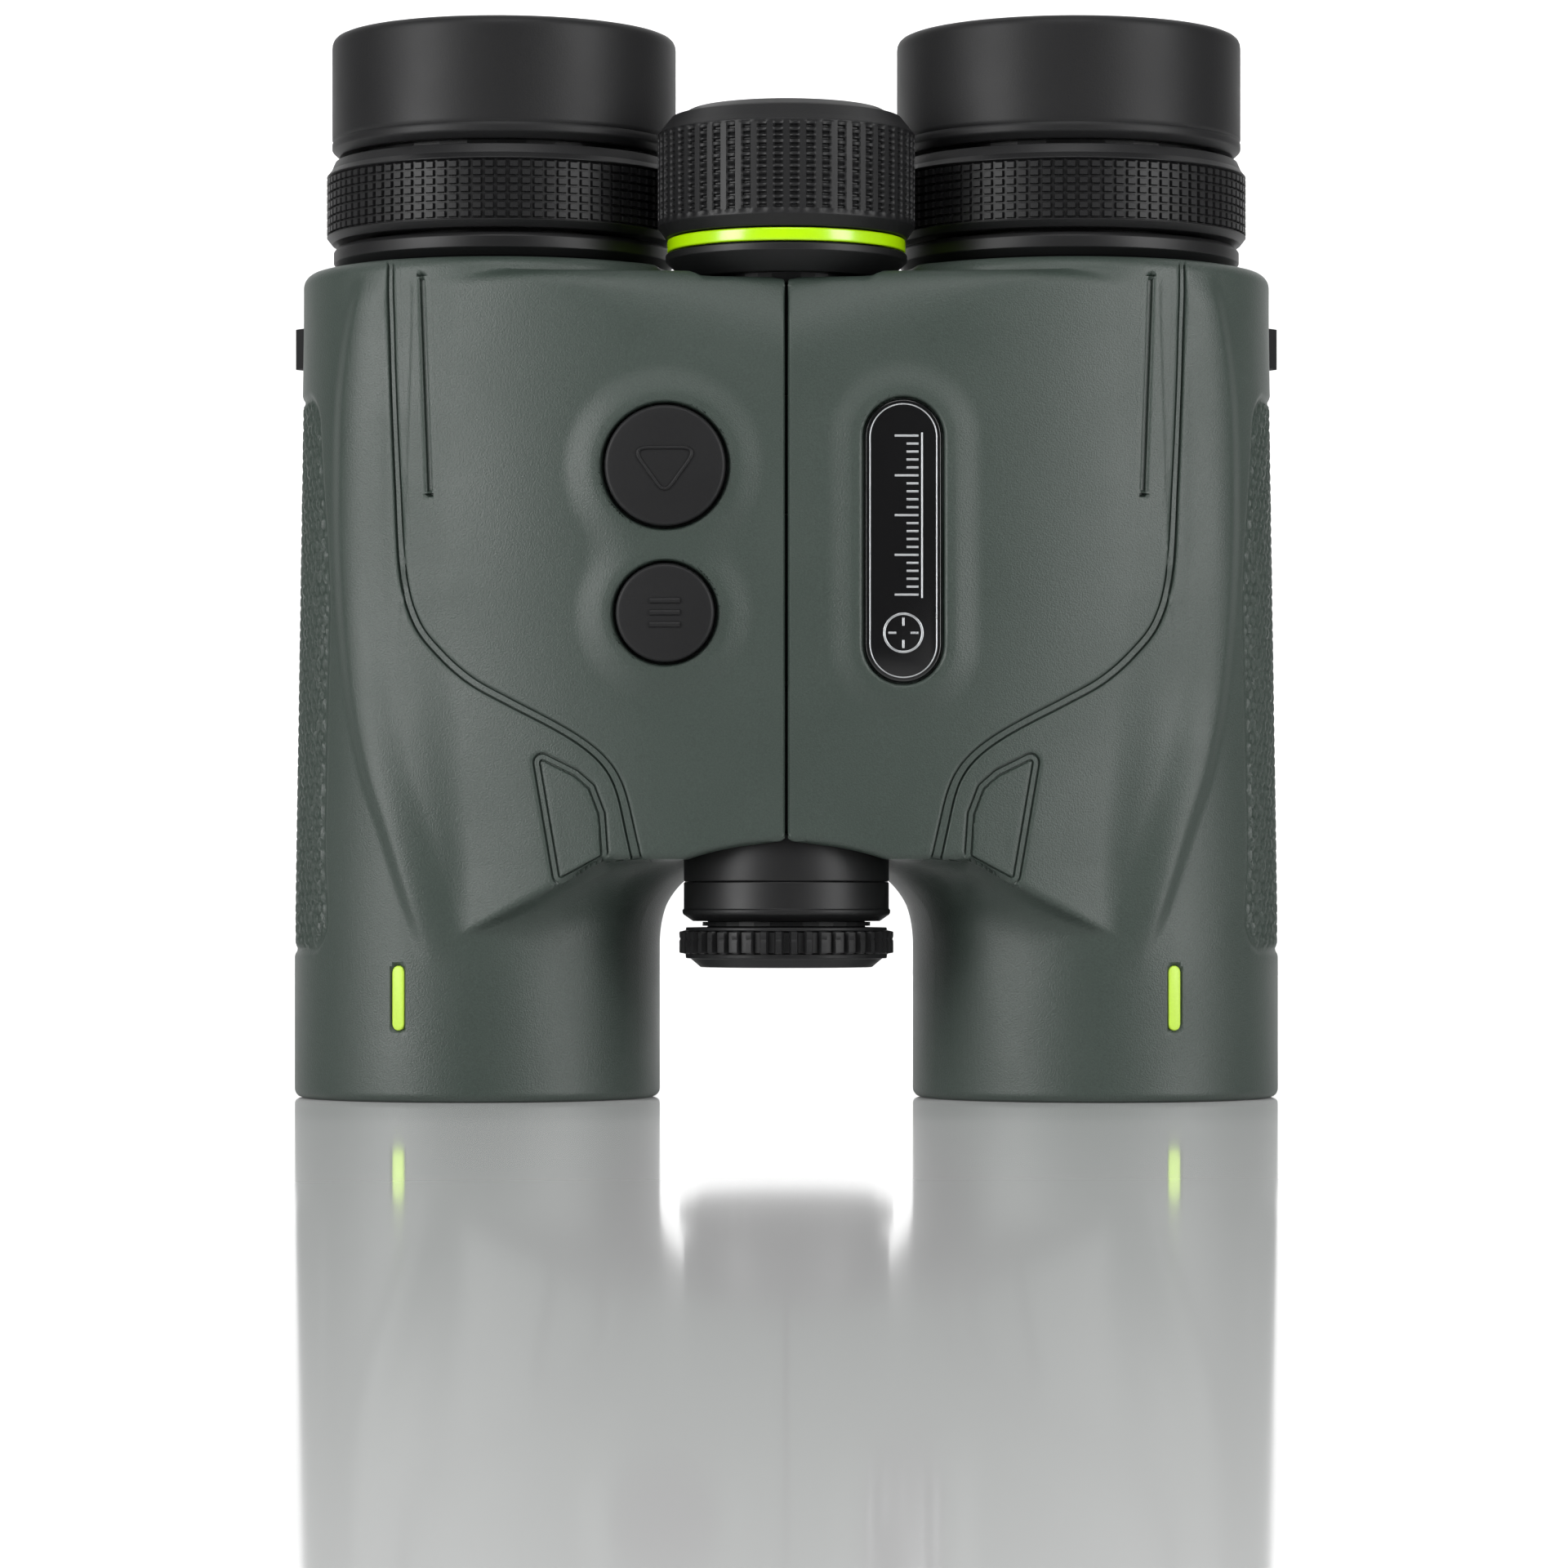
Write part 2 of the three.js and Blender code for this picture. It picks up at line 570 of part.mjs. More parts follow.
function hingeCore() {
  const group = new THREE.Group();
  const tubeProfile = [
    [4, 52],
    [8.2, 50.5],
    [8.2, 28.4],
    [9.4, 28.4],
    [9.4, 51.6],
    [6, 53],
    [6, 103.8],
    [4, 103.8],
  ];
  const keyway = box([-1.3, HINGE_Y, 56], [1.3, HINGE_Y + 12, 74]);
  const tube = solid(turned(tubeProfile, 0, HINGE_Y, 28)).subtract(solid(keyway));
  put(group, "hinge_tube", geometryOf(tube), bareMetal);

  const collar = ring(9.7, HINGE_RADIUS, 28.3, 34, 0, HINGE_Y);
  put(group, "hinge_front_collar", collar, blackMetal);

  const housingProfile = [
    [10.7, 23.1],
    [12.2, 23.1],
    [13.36, 24.1],
    [13.36, 24.5],
    [HINGE_RADIUS, 24.6],
    [HINGE_RADIUS, 28],
    [10.7, 28],
  ];
  put(group, "battery_housing", turned(housingProfile, 0, HINGE_Y), blackMetal);

  // The sleeve closes the hinge where the focus carriage runs, with a window for each arm.
  let sleeve = solid(ring(9.2, UPPER_HINGE[0], 53.5, 74.5, 0, HINGE_Y));
  const window = [[95], [110], [125], [140], [152]].map(([degrees]) => {
    const angle = (degrees * Math.PI) / 180;
    return new THREE.Vector2(20 * Math.sin(angle), -20 * Math.cos(angle));
  });
  window.push(new THREE.Vector2(0, 0));
  for (const side of [1, -1]) {
    const cutter = slab(window, 56.5, 73.5).scale(side, 1, 1).translate(0, HINGE_Y, 0);
    if (side < 0) flip(cutter);
    sleeve = sleeve.subtract(solid(cutter));
  }
  put(group, "hinge_sleeve", geometryOf(sleeve), blackMetal);

  put(group, "hinge_rear_bush", ring(3, 9.5, 104.1, 106.6, 0, HINGE_Y), bareMetal);
  const cellProfile = [[0, 20.6], [7.75, 20.6], [7.75, 46.6], [3, 46.6], [3, 47.4], [0, 47.4]];
  put(group, "battery_cell", turned(cellProfile, 0, HINGE_Y, 28), bareMetal);
  put(group, "battery_contact_spring", contactSpring(), bareMetal);
  put(group, "battery_contact_board", rod(7.6, 49.4, 50.2, 0, HINGE_Y, 24), boardGreen);
  return group;
}

// Turns every face round, after a mirroring.
function flip(geometry) {
  const position = geometry.attributes.position;
  for (let i = 0; i < position.count; i += 3) {
    for (let k = 0; k < 3; k++) {
      const held = position.array[3 * i + 3 + k];
      position.array[3 * i + 3 + k] = position.array[3 * i + 6 + k];
      position.array[3 * i + 6 + k] = held;
    }
  }
}

// A flat coil between the cell and its contact board.
function contactSpring() {
  const turns = 1.6;
  const points = [];
  for (let i = 0; i <= 20; i++) {
    const angle = (i / 20) * turns * 2 * Math.PI;
    const radius = 3 + (i / 20) * 1.5;
    const [x, y] = [radius * Math.cos(angle), radius * Math.sin(angle)];
    points.push(new THREE.Vector3(x, y + HINGE_Y, 48 + (i / 20) * 0.9));
  }
  const wire = new THREE.Shape().absarc(0, 0, 0.25, 0, 2 * Math.PI, false);
  return new THREE.ExtrudeGeometry(wire, {
    steps: 28,
    curveSegments: 4,
    extrudePath: new THREE.CatmullRomCurve3(points),
  });
}

function focusWheel() {
  const group = new THREE.Group();
  const hubProfile = [
    [3, 107],
    [10, 107],
    [10, 105.2],
    [12.7, 105.2],
    [15.2, 107.5],
    [15.2, 108.4],
    [13.8, 108.4],
    [13.8, 125.6],
    [3, 125.6],
  ];
  put(group, "focus_wheel_hub", turned(hubProfile, 0, HINGE_Y), blackMetal);
  const accent = ring(14.1, 14.95, 108.7, 110.4, 0, HINGE_Y);
  put(group, "focus_accent_ring", accent, accentLime);
  const gripProfile = [
    [14.1, 110.7],
    [15.3, 110.7],
    [16.5, 112.1],
    [16.5, 123.8],
    [16.1, 124.3],
    [14.6, 126],
    [14.1, 126],
  ];
  put(group, "focus_wheel_grip", turned(gripProfile, 0, HINGE_Y), blackRubber);
  const capProfile = [[0, 125.9], [13.6, 125.9], [13.6, 126.4], [12.6, 127], [0, 127.2]];
  put(group, "focus_wheel_cap", turned(capProfile, 0, HINGE_Y), blackMetal);
  put(group, "focus_spindle", rod(2.6, 54.5, 125, 0, HINGE_Y, 16), bareMetal);
  return group;
}

function focusCarriage() {
  const profile = [
    [6.3, ARM_Z - 4],
    [8.9, ARM_Z - 4],
    [8.9, ARM_Z - 1.4],
    [7.4, ARM_Z - 1.4],
    [7.4, ARM_Z + 1.4],
    [8.9, ARM_Z + 1.4],
    [8.9, ARM_Z + 4],
    [6.3, ARM_Z + 4],
  ];
  const spool = solid(turned(profile, 0, HINGE_Y, 32));
  const key = solid(box([-0.9, HINGE_Y + 2.9, ARM_Z - 3], [0.9, HINGE_Y + 7, ARM_Z + 3]));
  return geometryOf(spool.add(key));
}

function batteryCap() {
  const profile = [
    [0, 17.2],
    [11, 17.2],
    [12.3, 18.3],
    [12.9, 18.3],
    [12.9, 18.8],
    [13.74, 19.4],
    [13.74, 21.3],
    [12.9, 21.9],
    [12.9, 22.3],
    [10.1, 22.3],
    [10.1, 23.3],
    [10.4, 23.4],
    [10.4, 26.8],
    [8.3, 26.8],
    [8.3, 20.2],
    [0, 20.2],
  ];
  return turned(profile, 0, HINGE_Y);
}

part.add(hingeCore(), leftBarrel(), rightBarrel(), focusWheel());
put(part, "focus_carriage", focusCarriage(), blackMetal);
put(part, "battery_cap_seal", ring(10.3, 10.76, 22.5, 23.0, 0, HINGE_Y, 32), blackRubber);
put(part, "battery_cap", batteryCap(), blackRubber);

export default part;
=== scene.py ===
"""A laser rangefinder binocular standing on its objectives: the looks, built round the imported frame.

Lengths in this script are millimetres until a mesh is made. A barrel's own coordinates are u,
outwards from the hinge plane, v, back from the plane of the optical axes, and z, up. Both barrels
are built from the same form, and the left one is mirrored.
"""

import math

import bpy
import numpy as np
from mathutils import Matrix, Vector


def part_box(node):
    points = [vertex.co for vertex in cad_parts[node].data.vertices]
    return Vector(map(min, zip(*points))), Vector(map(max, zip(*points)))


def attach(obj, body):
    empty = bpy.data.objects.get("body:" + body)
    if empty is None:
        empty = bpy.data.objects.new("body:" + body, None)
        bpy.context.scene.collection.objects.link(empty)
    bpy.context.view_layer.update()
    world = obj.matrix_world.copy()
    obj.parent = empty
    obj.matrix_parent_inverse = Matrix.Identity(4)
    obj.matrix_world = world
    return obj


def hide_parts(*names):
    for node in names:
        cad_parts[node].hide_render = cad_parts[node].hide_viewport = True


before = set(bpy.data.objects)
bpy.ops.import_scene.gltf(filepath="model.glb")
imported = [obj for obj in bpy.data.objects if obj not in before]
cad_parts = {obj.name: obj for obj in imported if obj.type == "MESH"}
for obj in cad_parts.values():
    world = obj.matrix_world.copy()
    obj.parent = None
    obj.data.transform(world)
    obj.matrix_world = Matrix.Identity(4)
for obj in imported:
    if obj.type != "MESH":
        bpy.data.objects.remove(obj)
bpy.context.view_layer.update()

# ---- Driving dimensions, from the frame ----
MM = 0.001


def box_mm(node):
    """The node's lowest and highest corners, in millimetres."""
    low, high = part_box(node)
    return np.array(low) / MM, np.array(high) / MM


def centre_mm(node):
    low, high = box_mm(node)
    return (low + high) / 2


def size_mm(node):
    low, high = box_mm(node)
    return high - low


OPTICS_Y = centre_mm("right_eyecup")[1]
EYE_U = centre_mm("right_eyecup")[0]
LENS_U = centre_mm("right_objective_lens")[0]
HINGE_Y = centre_mm("battery_cap")[1]
HINGE_V = HINGE_Y - OPTICS_Y
BODY_TOP = box_mm("right_armour")[1][2]
EYECUP_TOP = box_mm("right_eyecup")[1][2]
LOWER_RADIUS = 23.9
UPPER_RADIUS = 26.2
TAPER_START, TAPER_HEIGHT = 25, 75
BRIDGE_TOP = 105.5
BRIDGE_BOTTOM = 33.0
BRIDGE_BACK = -1.0
BRIDGE_INNER = -4
BRIDGE_CREST = -31.0
BRIDGE_FALL = 0.03
FLANK = math.radians(23)
FLANK_DROP = 1.7
LIP_FALL, LIP_LOWEST = 0.013, 30.8
CORNER_START, CORNER_FALL = 19, 0.55
SEAM = 0.2
FOLD_SLOPE = math.tan(math.radians(25.5))
BUTTON_TILT = math.radians(2)
WHEEL_ROOM, WHEEL_SEAT = 15.8, 104.8
BOTTOM_EDGE, TOP_EDGE = 1.2, 1.8
TOP_RIM = 2.2
HALVINGS = 26

# ---- Camera: level with the lower third of the barrels, straight at the button side ----
CAMERA_DISTANCE = 0.740
CAMERA_HEIGHT = 0.026
camera_data = bpy.data.cameras.new("camera")
camera_data.lens = 129.5
camera_data.sensor_width = 36
camera_data.shift_y = 0.073
camera_data.shift_x = -0.0015
camera = bpy.data.objects.new("camera", camera_data)
camera.location = (0, OPTICS_Y * MM - CAMERA_DISTANCE, CAMERA_HEIGHT)
camera.rotation_euler = (math.radians(90), 0, 0)
bpy.context.scene.collection.objects.link(camera)
bpy.context.scene.camera = camera


# ---- Materials ----
class Nodes:
    """A material's node tree, with short names for what the materials here use."""

    def __init__(self, name):
        self.material = bpy.data.materials.new(name)
        self.material.use_nodes = True
        self.tree = self.material.node_tree
        self.shader = self.tree.nodes["Principled BSDF"]
        self.place = self.tree.nodes.new("ShaderNodeTexCoord").outputs["Object"]

    def link(self, source, target):
        self.tree.links.new(source, target)

    def drive(self, source, socket):
        self.link(source, self.shader.inputs[socket])

    def fix(self, constants):
        for socket, value in constants.items():
            self.shader.inputs[socket].default_value = value

    def noise(self, scale, detail=3.0, roughness=0.5):
        node = self.tree.nodes.new("ShaderNodeTexNoise")
        node.inputs["Scale"].default_value = scale
        node.inputs["Detail"].default_value = detail
        node.inputs["Roughness"].default_value = roughness
        self.link(self.place, node.inputs["Vector"])
        return node.outputs["Fac"]

    def cells(self, scale):
        node = self.tree.nodes.new("ShaderNodeTexVoronoi")
        node.inputs["Scale"].default_value = scale
        self.link(self.place, node.inputs["Vector"])
        return node.outputs["Distance"]

    def ramp(self, factor, stops):
        node = self.tree.nodes.new("ShaderNodeValToRGB")
        elements = node.color_ramp.elements
        while len(elements) < len(stops):
            elements.new(0.5)
        for element, (position, colour) in zip(elements, stops):
            element.position = position
            element.color = (*colour, 1)
        self.link(factor, node.inputs["Fac"])
        return node.outputs["Color"]

    def span(self, factor, low, high):
        node = self.tree.nodes.new("ShaderNodeMapRange")
        for socket, value in (("From Min", 0.3), ("From Max", 0.7), ("To Min", low), ("To Max", high)):
            node.inputs[socket].default_value = value
        self.link(factor, node.inputs["Value"])
        return node.outputs["Result"]

    def multiply(self, a, b):
        node = self.tree.nodes.new("ShaderNodeMix")
        node.data_type = "RGBA"
        node.blend_type = "MULTIPLY"
        node.inputs["Factor"].default_value = 1
        self.link(a, node.inputs["A"])
        self.link(b, node.inputs["B"])
        return node.outputs["Result"]

    def bump(self, height, distance_mm):
        node = self.tree.nodes.new("ShaderNodeBump")
        node.inputs["Strength"].default_value = 1.0
        node.inputs["Distance"].default_value = distance_mm * MM
        self.link(height, node.inputs["Height"])
        return node.outputs["Normal"]


def linear(red, green, blue):
    """A colour given as 0 to 255 sRGB, in Blender's linear values."""
    shares = [c / 255 for c in (red, green, blue)]
    return tuple(c / 12.92 if c <= 0.04045 else ((c + 0.055) / 1.055) ** 2.4 for c in shares)


def scaled(colour, factor):
    return tuple(c * factor for c in colour)


def grained(name, colour, roughness, grain_scale, grain_mm, mottle=0.06, specular=0.5, metallic=0.0,
            coat=0.0):
    """A moulded or anodised surface: fine grain in colour and height, and a faint large mottle."""
    n = Nodes(name)
    grain = n.noise(grain_scale, 2.0, 0.6)
    clouds = n.noise(60.0, 3.0)
    speckle = n.ramp(grain, [(0.3, scaled(colour, 1 - mottle)), (0.7, scaled(colour, 1 + mottle))])
    shade = n.ramp(clouds, [(0.3, (0.96,) * 3), (0.7, (1.0,) * 3)])
    n.drive(n.multiply(speckle, shade), "Base Color")
    n.drive(n.span(clouds, roughness - 0.04, roughness + 0.04), "Roughness")
    n.drive(n.bump(grain, grain_mm), "Normal")
    n.fix({"Specular IOR Level": specular, "Metallic": metallic, "Coat Weight": coat,
           "Coat Roughness": 0.15})
    return n.material


def coated_glass(name, tint, reflection):
    """A lens: clear, with the tinted reflection of its coating."""
    n = Nodes(name)
    n.drive(n.ramp(n.noise(25.0, 1.0), [(0.3, scaled(tint, 0.9)), (0.7, tint)]), "Base Color")
    n.fix({"Roughness": 0.02, "IOR": 1.55, "Transmission Weight": 0.75, "Coat Weight": 1.0,
           "Coat Roughness": 0.02, "Coat Tint": (*reflection, 1)})
    return n.material


def circuit_board():
    n = Nodes("circuit_board")
    tracks = n.cells(900.0)
    n.drive(n.ramp(tracks, [(0.2, linear(18, 74, 40)), (0.6, linear(30, 104, 60))]), "Base Color")
    n.fix({"Roughness": 0.45})
    n.drive(n.bump(tracks, 0.03), "Normal")
    return n.material


RUBBER_BLACK = linear(24, 24, 25)
ARMOUR = grained("armour_rubber", linear(48, 59, 53), 0.46, 4600, 0.06, mottle=0.2, specular=0.6)
GRIP_BLACK = grained("black_rubber", RUBBER_BLACK, 0.45, 5200, 0.015, mottle=0.08, specular=0.3)
SOFT_BLACK = grained("soft_black_rubber", RUBBER_BLACK, 0.5, 4200, 0.015, mottle=0.06, specular=0.28)
ANODISED = grained("black_anodised", linear(19, 19, 20), 0.46, 6500, 0.006, mottle=0.05, metallic=0.25)
GLOSS_BLACK = grained("gloss_black", linear(13, 13, 14), 0.16, 3000, 0.001, mottle=0.03, coat=0.6)
MATT_BLACK = grained("matt_black", linear(20, 20, 21), 0.75, 5000, 0.01, mottle=0.05, specular=0.3)
LIME = grained("lime_lacquer", linear(176, 228, 0), 0.24, 3000, 0.002, mottle=0.02, coat=0.5)
LIME_SOFT = grained("lime_inlay", linear(186, 222, 70), 0.42, 3500, 0.004, mottle=0.03)
SILVER = grained("silver_print", linear(196, 198, 200), 0.3, 5200, 0.004, mottle=0.05, metallic=0.7)
STEEL = grained("machined_steel", linear(168, 170, 172), 0.3, 4200, 0.004, mottle=0.05, metallic=0.9)
LENS_FRONT = coated_glass("objective_glass", (0.55, 0.65, 0.6), (0.35, 0.9, 0.6))
LENS_BACK = coated_glass("eyepiece_glass", (0.5, 0.55, 0.6), (0.6, 0.5, 0.95))
BOARD = circuit_board()


# ---- Mesh helpers ----
def add_mesh(name, points, faces, material, body, crease_deg=32):
    """A smooth-shaded mesh of points in millimetres, riding on a CAD body."""
    mesh = bpy.data.meshes.new(name)
    mesh.from_pydata((np.asarray(points, float) * MM).tolist(), [], faces)
    mesh.materials.append(material)
    mesh.polygons.foreach_set("use_smooth", [True] * len(mesh.polygons))
    mesh.set_sharp_from_angle(angle=math.radians(crease_deg))
    mesh.update()
    piece = bpy.data.objects.new(name, mesh)
    bpy.context.scene.collection.objects.link(piece)
    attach(piece, body)
    return piece


def grid_faces(rows, columns, close_rows=False, close_columns=True, flip=False):
    """Quads of a grid whose point (row, column) has the index row * columns + column."""
    last_row = rows if close_rows else rows - 1
    last_column = columns if close_columns else columns - 1
    k, i = np.meshgrid(np.arange(last_row), np.arange(last_column), indexing="ij")
    a = k * columns + i
    b = k * columns + (i + 1) % columns
    c = ((k + 1) % rows) * columns + (i + 1) % columns
    d = ((k + 1) % rows) * columns + i
    corners = (a, d, c, b) if flip else (a, b, c, d)
    return np.stack([q.ravel() for q in corners], axis=1).tolist()


def rounded(profile, radius, steps=4, closed=True):
    """The same outline with its corners turned into arcs, as far as its edges have room."""
    points = [np.array(p[:2], float) for p in profile]
    sizes = [p[2] if len(p) > 2 else radius for p in profile]
    out = []
    count = len(points)
    for i, point in enumerate(points):
        if not closed and i in (0, count - 1):
            out.append(point)
            continue
        before = points[i - 1] - point
        after = points[(i + 1) % count] - point
        lengths = np.linalg.norm(before), np.linalg.norm(after)
        before, after = before / lengths[0], after / lengths[1]
        cosine = np.clip(before @ after, -1, 1)
        half = math.acos(cosine) / 2
        if sizes[i] <= 0 or half > math.radians(86):
            out.append(point)
            continue
        reach = min(sizes[i] / math.tan(half), 0.48 * min(lengths))
        start, end = point + before * reach, point + after * reach
        for step in range(steps + 1):
            t = step / steps
            out.append((1 - t) ** 2 * start + 2 * t * (1 - t) * point + t * t * end)
    return np.array(out)


def divided(profile, longest, closed=True):
    """The outline with its long edges cut into shorter ones."""
    out = []
    count = len(profile)
    for i in range(count if closed else count - 1):
        a, b = profile[i], profile[(i + 1) % count]
        parts = max(1, math.ceil(np.linalg.norm(b - a) / longest))
        out += [a + (b - a) * k / parts for k in range(parts)]
    if not closed:
        out.append(profile[-1])
    return np.array(out)


def face_over(start, count, flip=False):
    """One face over a ring of points that follow each other."""
    face = list(range(start, start + count))
    return face[::-1] if flip else face


def lathe(name, profile, x, y, material, body, segments=128, relief=None, closed=True, crease_deg=32):
    """A profile of (radius, height), counter-clockwise, turned about a vertical axis.

    segments is a number of even steps, or the angles themselves, and relief(angle, radius, height)
    is added to the radius."""
    angles = np.asarray(segments)
    if angles.ndim == 0:
        angles = np.arange(segments) * 2 * math.pi / segments
    segments = len(angles)
    radius, turn = np.meshgrid(profile[:, 0], angles, indexing="ij")
    height, _ = np.meshgrid(profile[:, 1], angles, indexing="ij")
    if relief is not None:
        radius = radius + relief(turn, radius, height)
    points = np.stack([x + radius * np.cos(turn), y + radius * np.sin(turn), height], axis=-1)
    faces = grid_faces(len(profile), segments, close_rows=closed, flip=True)
    points = points.reshape(-1, 3)
    if not closed:
        # The two ends lie on the axis: close them with a middle point each.
        rows = len(profile)
        base, crown = len(points), len(points) + 1
        points = np.vstack([points, [[x, y, profile[0, 1]], [x, y, profile[-1, 1]]]])
        for i in range(segments):
            j = (i + 1) % segments
            faces.append([base, i, j][::-1])
            faces.append([crown, (rows - 1) * segments + i, (rows - 1) * segments + j])
    return add_mesh(name, points, faces, material, body, crease_deg)


def joined(*parts):
    """Several point-and-face lists as one."""
    points, faces, shift = [], [], 0
    for some, polygons in parts:
        points.append(some)
        faces += [[i + shift for i in polygon] for polygon in polygons]
        shift += len(some)
    return np.vstack(points), faces


def smooth(t):
    t = np.clip(t, 0, 1)
    return t * t * (3 - 2 * t)


def wave(t):
    """A triangle wave from 0 to 1 and back, once for each whole number."""
    return 1 - np.abs(2 * (t - np.floor(t)) - 1)


# ---- The armour's form, as a distance field in (u, v, z) ----
def soft_min(a, b, k):
    h = np.maximum(k - np.abs(a - b), 0) / k
    return np.minimum(a, b) - h * h * k / 4


def soft_max(a, b, k):
    return -soft_min(-a, -b, k)


def barrel_at(z):
    share = np.clip((z - TAPER_START) / TAPER_HEIGHT, 0, 1)
    return LENS_U + (EYE_U - LENS_U) * share, LOWER_RADIUS + (UPPER_RADIUS - LOWER_RADIUS) * share


def bridge_front(u, z):
    """The front of the bridge: nearly flat from its crest, then a flank that touches the barrel."""
    centre, radius = barrel_at(z)
    middle = BRIDGE_CREST + BRIDGE_FALL * u
    touching = ((u - centre) * math.sin(FLANK) - radius) / math.cos(FLANK)
    flank = touching + FLANK_DROP * np.clip((65 - z) / 35, 0, 1)
    return soft_max(middle, flank, 5)


def plane_through(a, b, c):
    """The unit normal and offset of a plane, facing the front."""
    a, b, c = (np.array(p, float) for p in (a, b, c))
    normal = np.cross(b - a, c - a)
    normal /= np.linalg.norm(normal)
    if normal[1] > 0:
        normal = -normal
    return normal, -normal @ a


SCOOP = plane_through((2, bridge_front(2, 98), 98), (28, bridge_front(28, 105.5), 105.5),
                      (2, bridge_front(2, 98) + 4, 106))


def body_distance(p):
    """Signed distance from the armour's plain form: barrel and bridge, less the wheel's room."""
    u, v, z = p[..., 0], p[..., 1], p[..., 2]
    centre, radius = barrel_at(z)
    to_barrel = np.hypot(u - centre, v) - radius
    lip = np.maximum(BRIDGE_BOTTOM - LIP_FALL * u * u, LIP_LOWEST)
    bottom = np.minimum(lip, BRIDGE_BOTTOM - CORNER_FALL * np.maximum(u - CORNER_START, 0))
    bridge = soft_max(bridge_front(u, z) - v, v - BRIDGE_BACK, 4)
    bridge = soft_max(bridge, bottom - z, 1.2)
    bridge = soft_max(bridge, z - BRIDGE_TOP, 2.5)
    touching = centre + radius * math.sin(FLANK)
    bridge = np.maximum(bridge, np.maximum(BRIDGE_INNER - u, u - touching))

    # The bridge runs into the barrel in a sharp line in front, and softly below and behind.
    low = (1 - smooth((z - 34) / 14)) * smooth((40 - u) / 12)
    back = smooth((v + 24) / 14)
    blend = 0.6 + np.maximum(7 * low, 10.4 * back)
    d = soft_min(to_barrel, bridge, blend)
    normal, offset = SCOOP
    d = soft_max(d, p @ normal + offset, 2)
    wheel = np.maximum(np.hypot(u, v - HINGE_V) - WHEEL_ROOM, WHEEL_SEAT - z)
    return soft_max(d, -wheel, 1)


def draw_back(distance, radius):
    """How far an edge rounded to a radius draws back at a distance below that edge."""
    rest = np.maximum(radius - distance, 0)
    return radius - np.sqrt(radius * radius - rest * rest)


def edge_inset(z):
    return draw_back(z, BOTTOM_EDGE) + draw_back(BODY_TOP - z, TOP_EDGE)


def gradient(p):
    """The direction in which the form's distance grows, at each point."""
    step = 0.02
    slopes = []
    for axis in range(3):
        shift = np.zeros(3)
        shift[axis] = step
        slopes.append((body_distance(p + shift) - body_distance(p - shift)) / (2 * step))
    g = np.stack(slopes, axis=-1)
    return g / np.maximum(np.linalg.norm(g, axis=-1, keepdims=True), 1e-6)


def halved(inside, outside, is_inside):
    """The values, first inside and then outside, that close in on where is_inside changes."""
    for _ in range(HALVINGS):
        middle = (inside + outside) / 2
        within = is_inside(middle)
        inside = np.where(within, middle, inside)
        outside = np.where(within, outside, middle)
    return inside, outside


# ---- Lines and outlines drawn on the armour's front, in (u, z) ----
def flowing(points, spacing=0.25):
    """A smooth line through the points, at about even spacing."""
    p = np.array([points[0], *points, points[-1]], float)
    out = []
    for i in range(1, len(p) - 2):
        length = np.linalg.norm(p[i + 1] - p[i])
        count = max(2, math.ceil(length / spacing))
        for k in range(count):
            t = k / count
            out.append(0.5 * (2 * p[i] + (p[i + 1] - p[i - 1]) * t
                              + (2 * p[i - 1] - 5 * p[i] + 4 * p[i + 1] - p[i + 2]) * t * t
                              + (3 * p[i] - p[i - 1] - 3 * p[i + 1] + p[i + 2]) * t ** 3))
    out.append(p[-1])
    return np.array(out)


def beside(line, points):
    """For each point: its signed distance from the line (positive on the line's left), and how far
    along the line its nearest spot is, as a share."""
    along = line[1:] - line[:-1]
    squared = (along ** 2).sum(1)
    best = np.full(len(points), 1e9)
    sign = np.ones(len(points))
    share = np.zeros(len(points))
    reach = 6.0
    for i in range(len(along)):
        offset = points - line[i]
        close = np.nonzero((np.abs(offset) < reach).all(axis=1))[0]
        offset = offset[close]
        t = np.clip(offset @ along[i] / squared[i], 0, 1)
        away = offset - t[:, None] * along[i]
        distance = np.hypot(away[:, 0], away[:, 1])
        nearer = distance < best[close]
        close, offset, t, distance = close[nearer], offset[nearer], t[nearer], distance[nearer]
        side = along[i, 0] * offset[:, 1] - along[i, 1] * offset[:, 0]
        best[close] = distance
        sign[close] = np.where(side >= 0, 1.0, -1.0)
        share[close] = (i + t) / len(along)
    return best * sign, share


def inside_outline(outline, radius, points):
    """Signed distance from a convex outline grown by a radius (negative inside it)."""
    distance = np.full(len(points), 1e9)
    outside = np.zeros(len(points), bool)
    count = len(outline)
    for i in range(count):
        a, b = np.array(outline[i], float), np.array(outline[(i + 1) % count], float)
        along = b - a
        offset = points - a
        t = np.clip(offset @ along / (along @ along), 0, 1)
        away = offset - t[:, None] * along
        distance = np.minimum(distance, np.hypot(away[:, 0], away[:, 1]))
        outside |= along[0] * offset[:, 1] - along[1] * offset[:, 0] < 0
    return np.where(outside, distance, -distance) - radius


def from_stadium(points, u, z, width, height):
    """Signed distance from an upright bar with round ends."""
    straight = height / 2 - width / 2
    down = np.maximum(np.abs(points[:, 1] - z) - straight, 0)
    return np.hypot(points[:, 0] - u, down) - width / 2


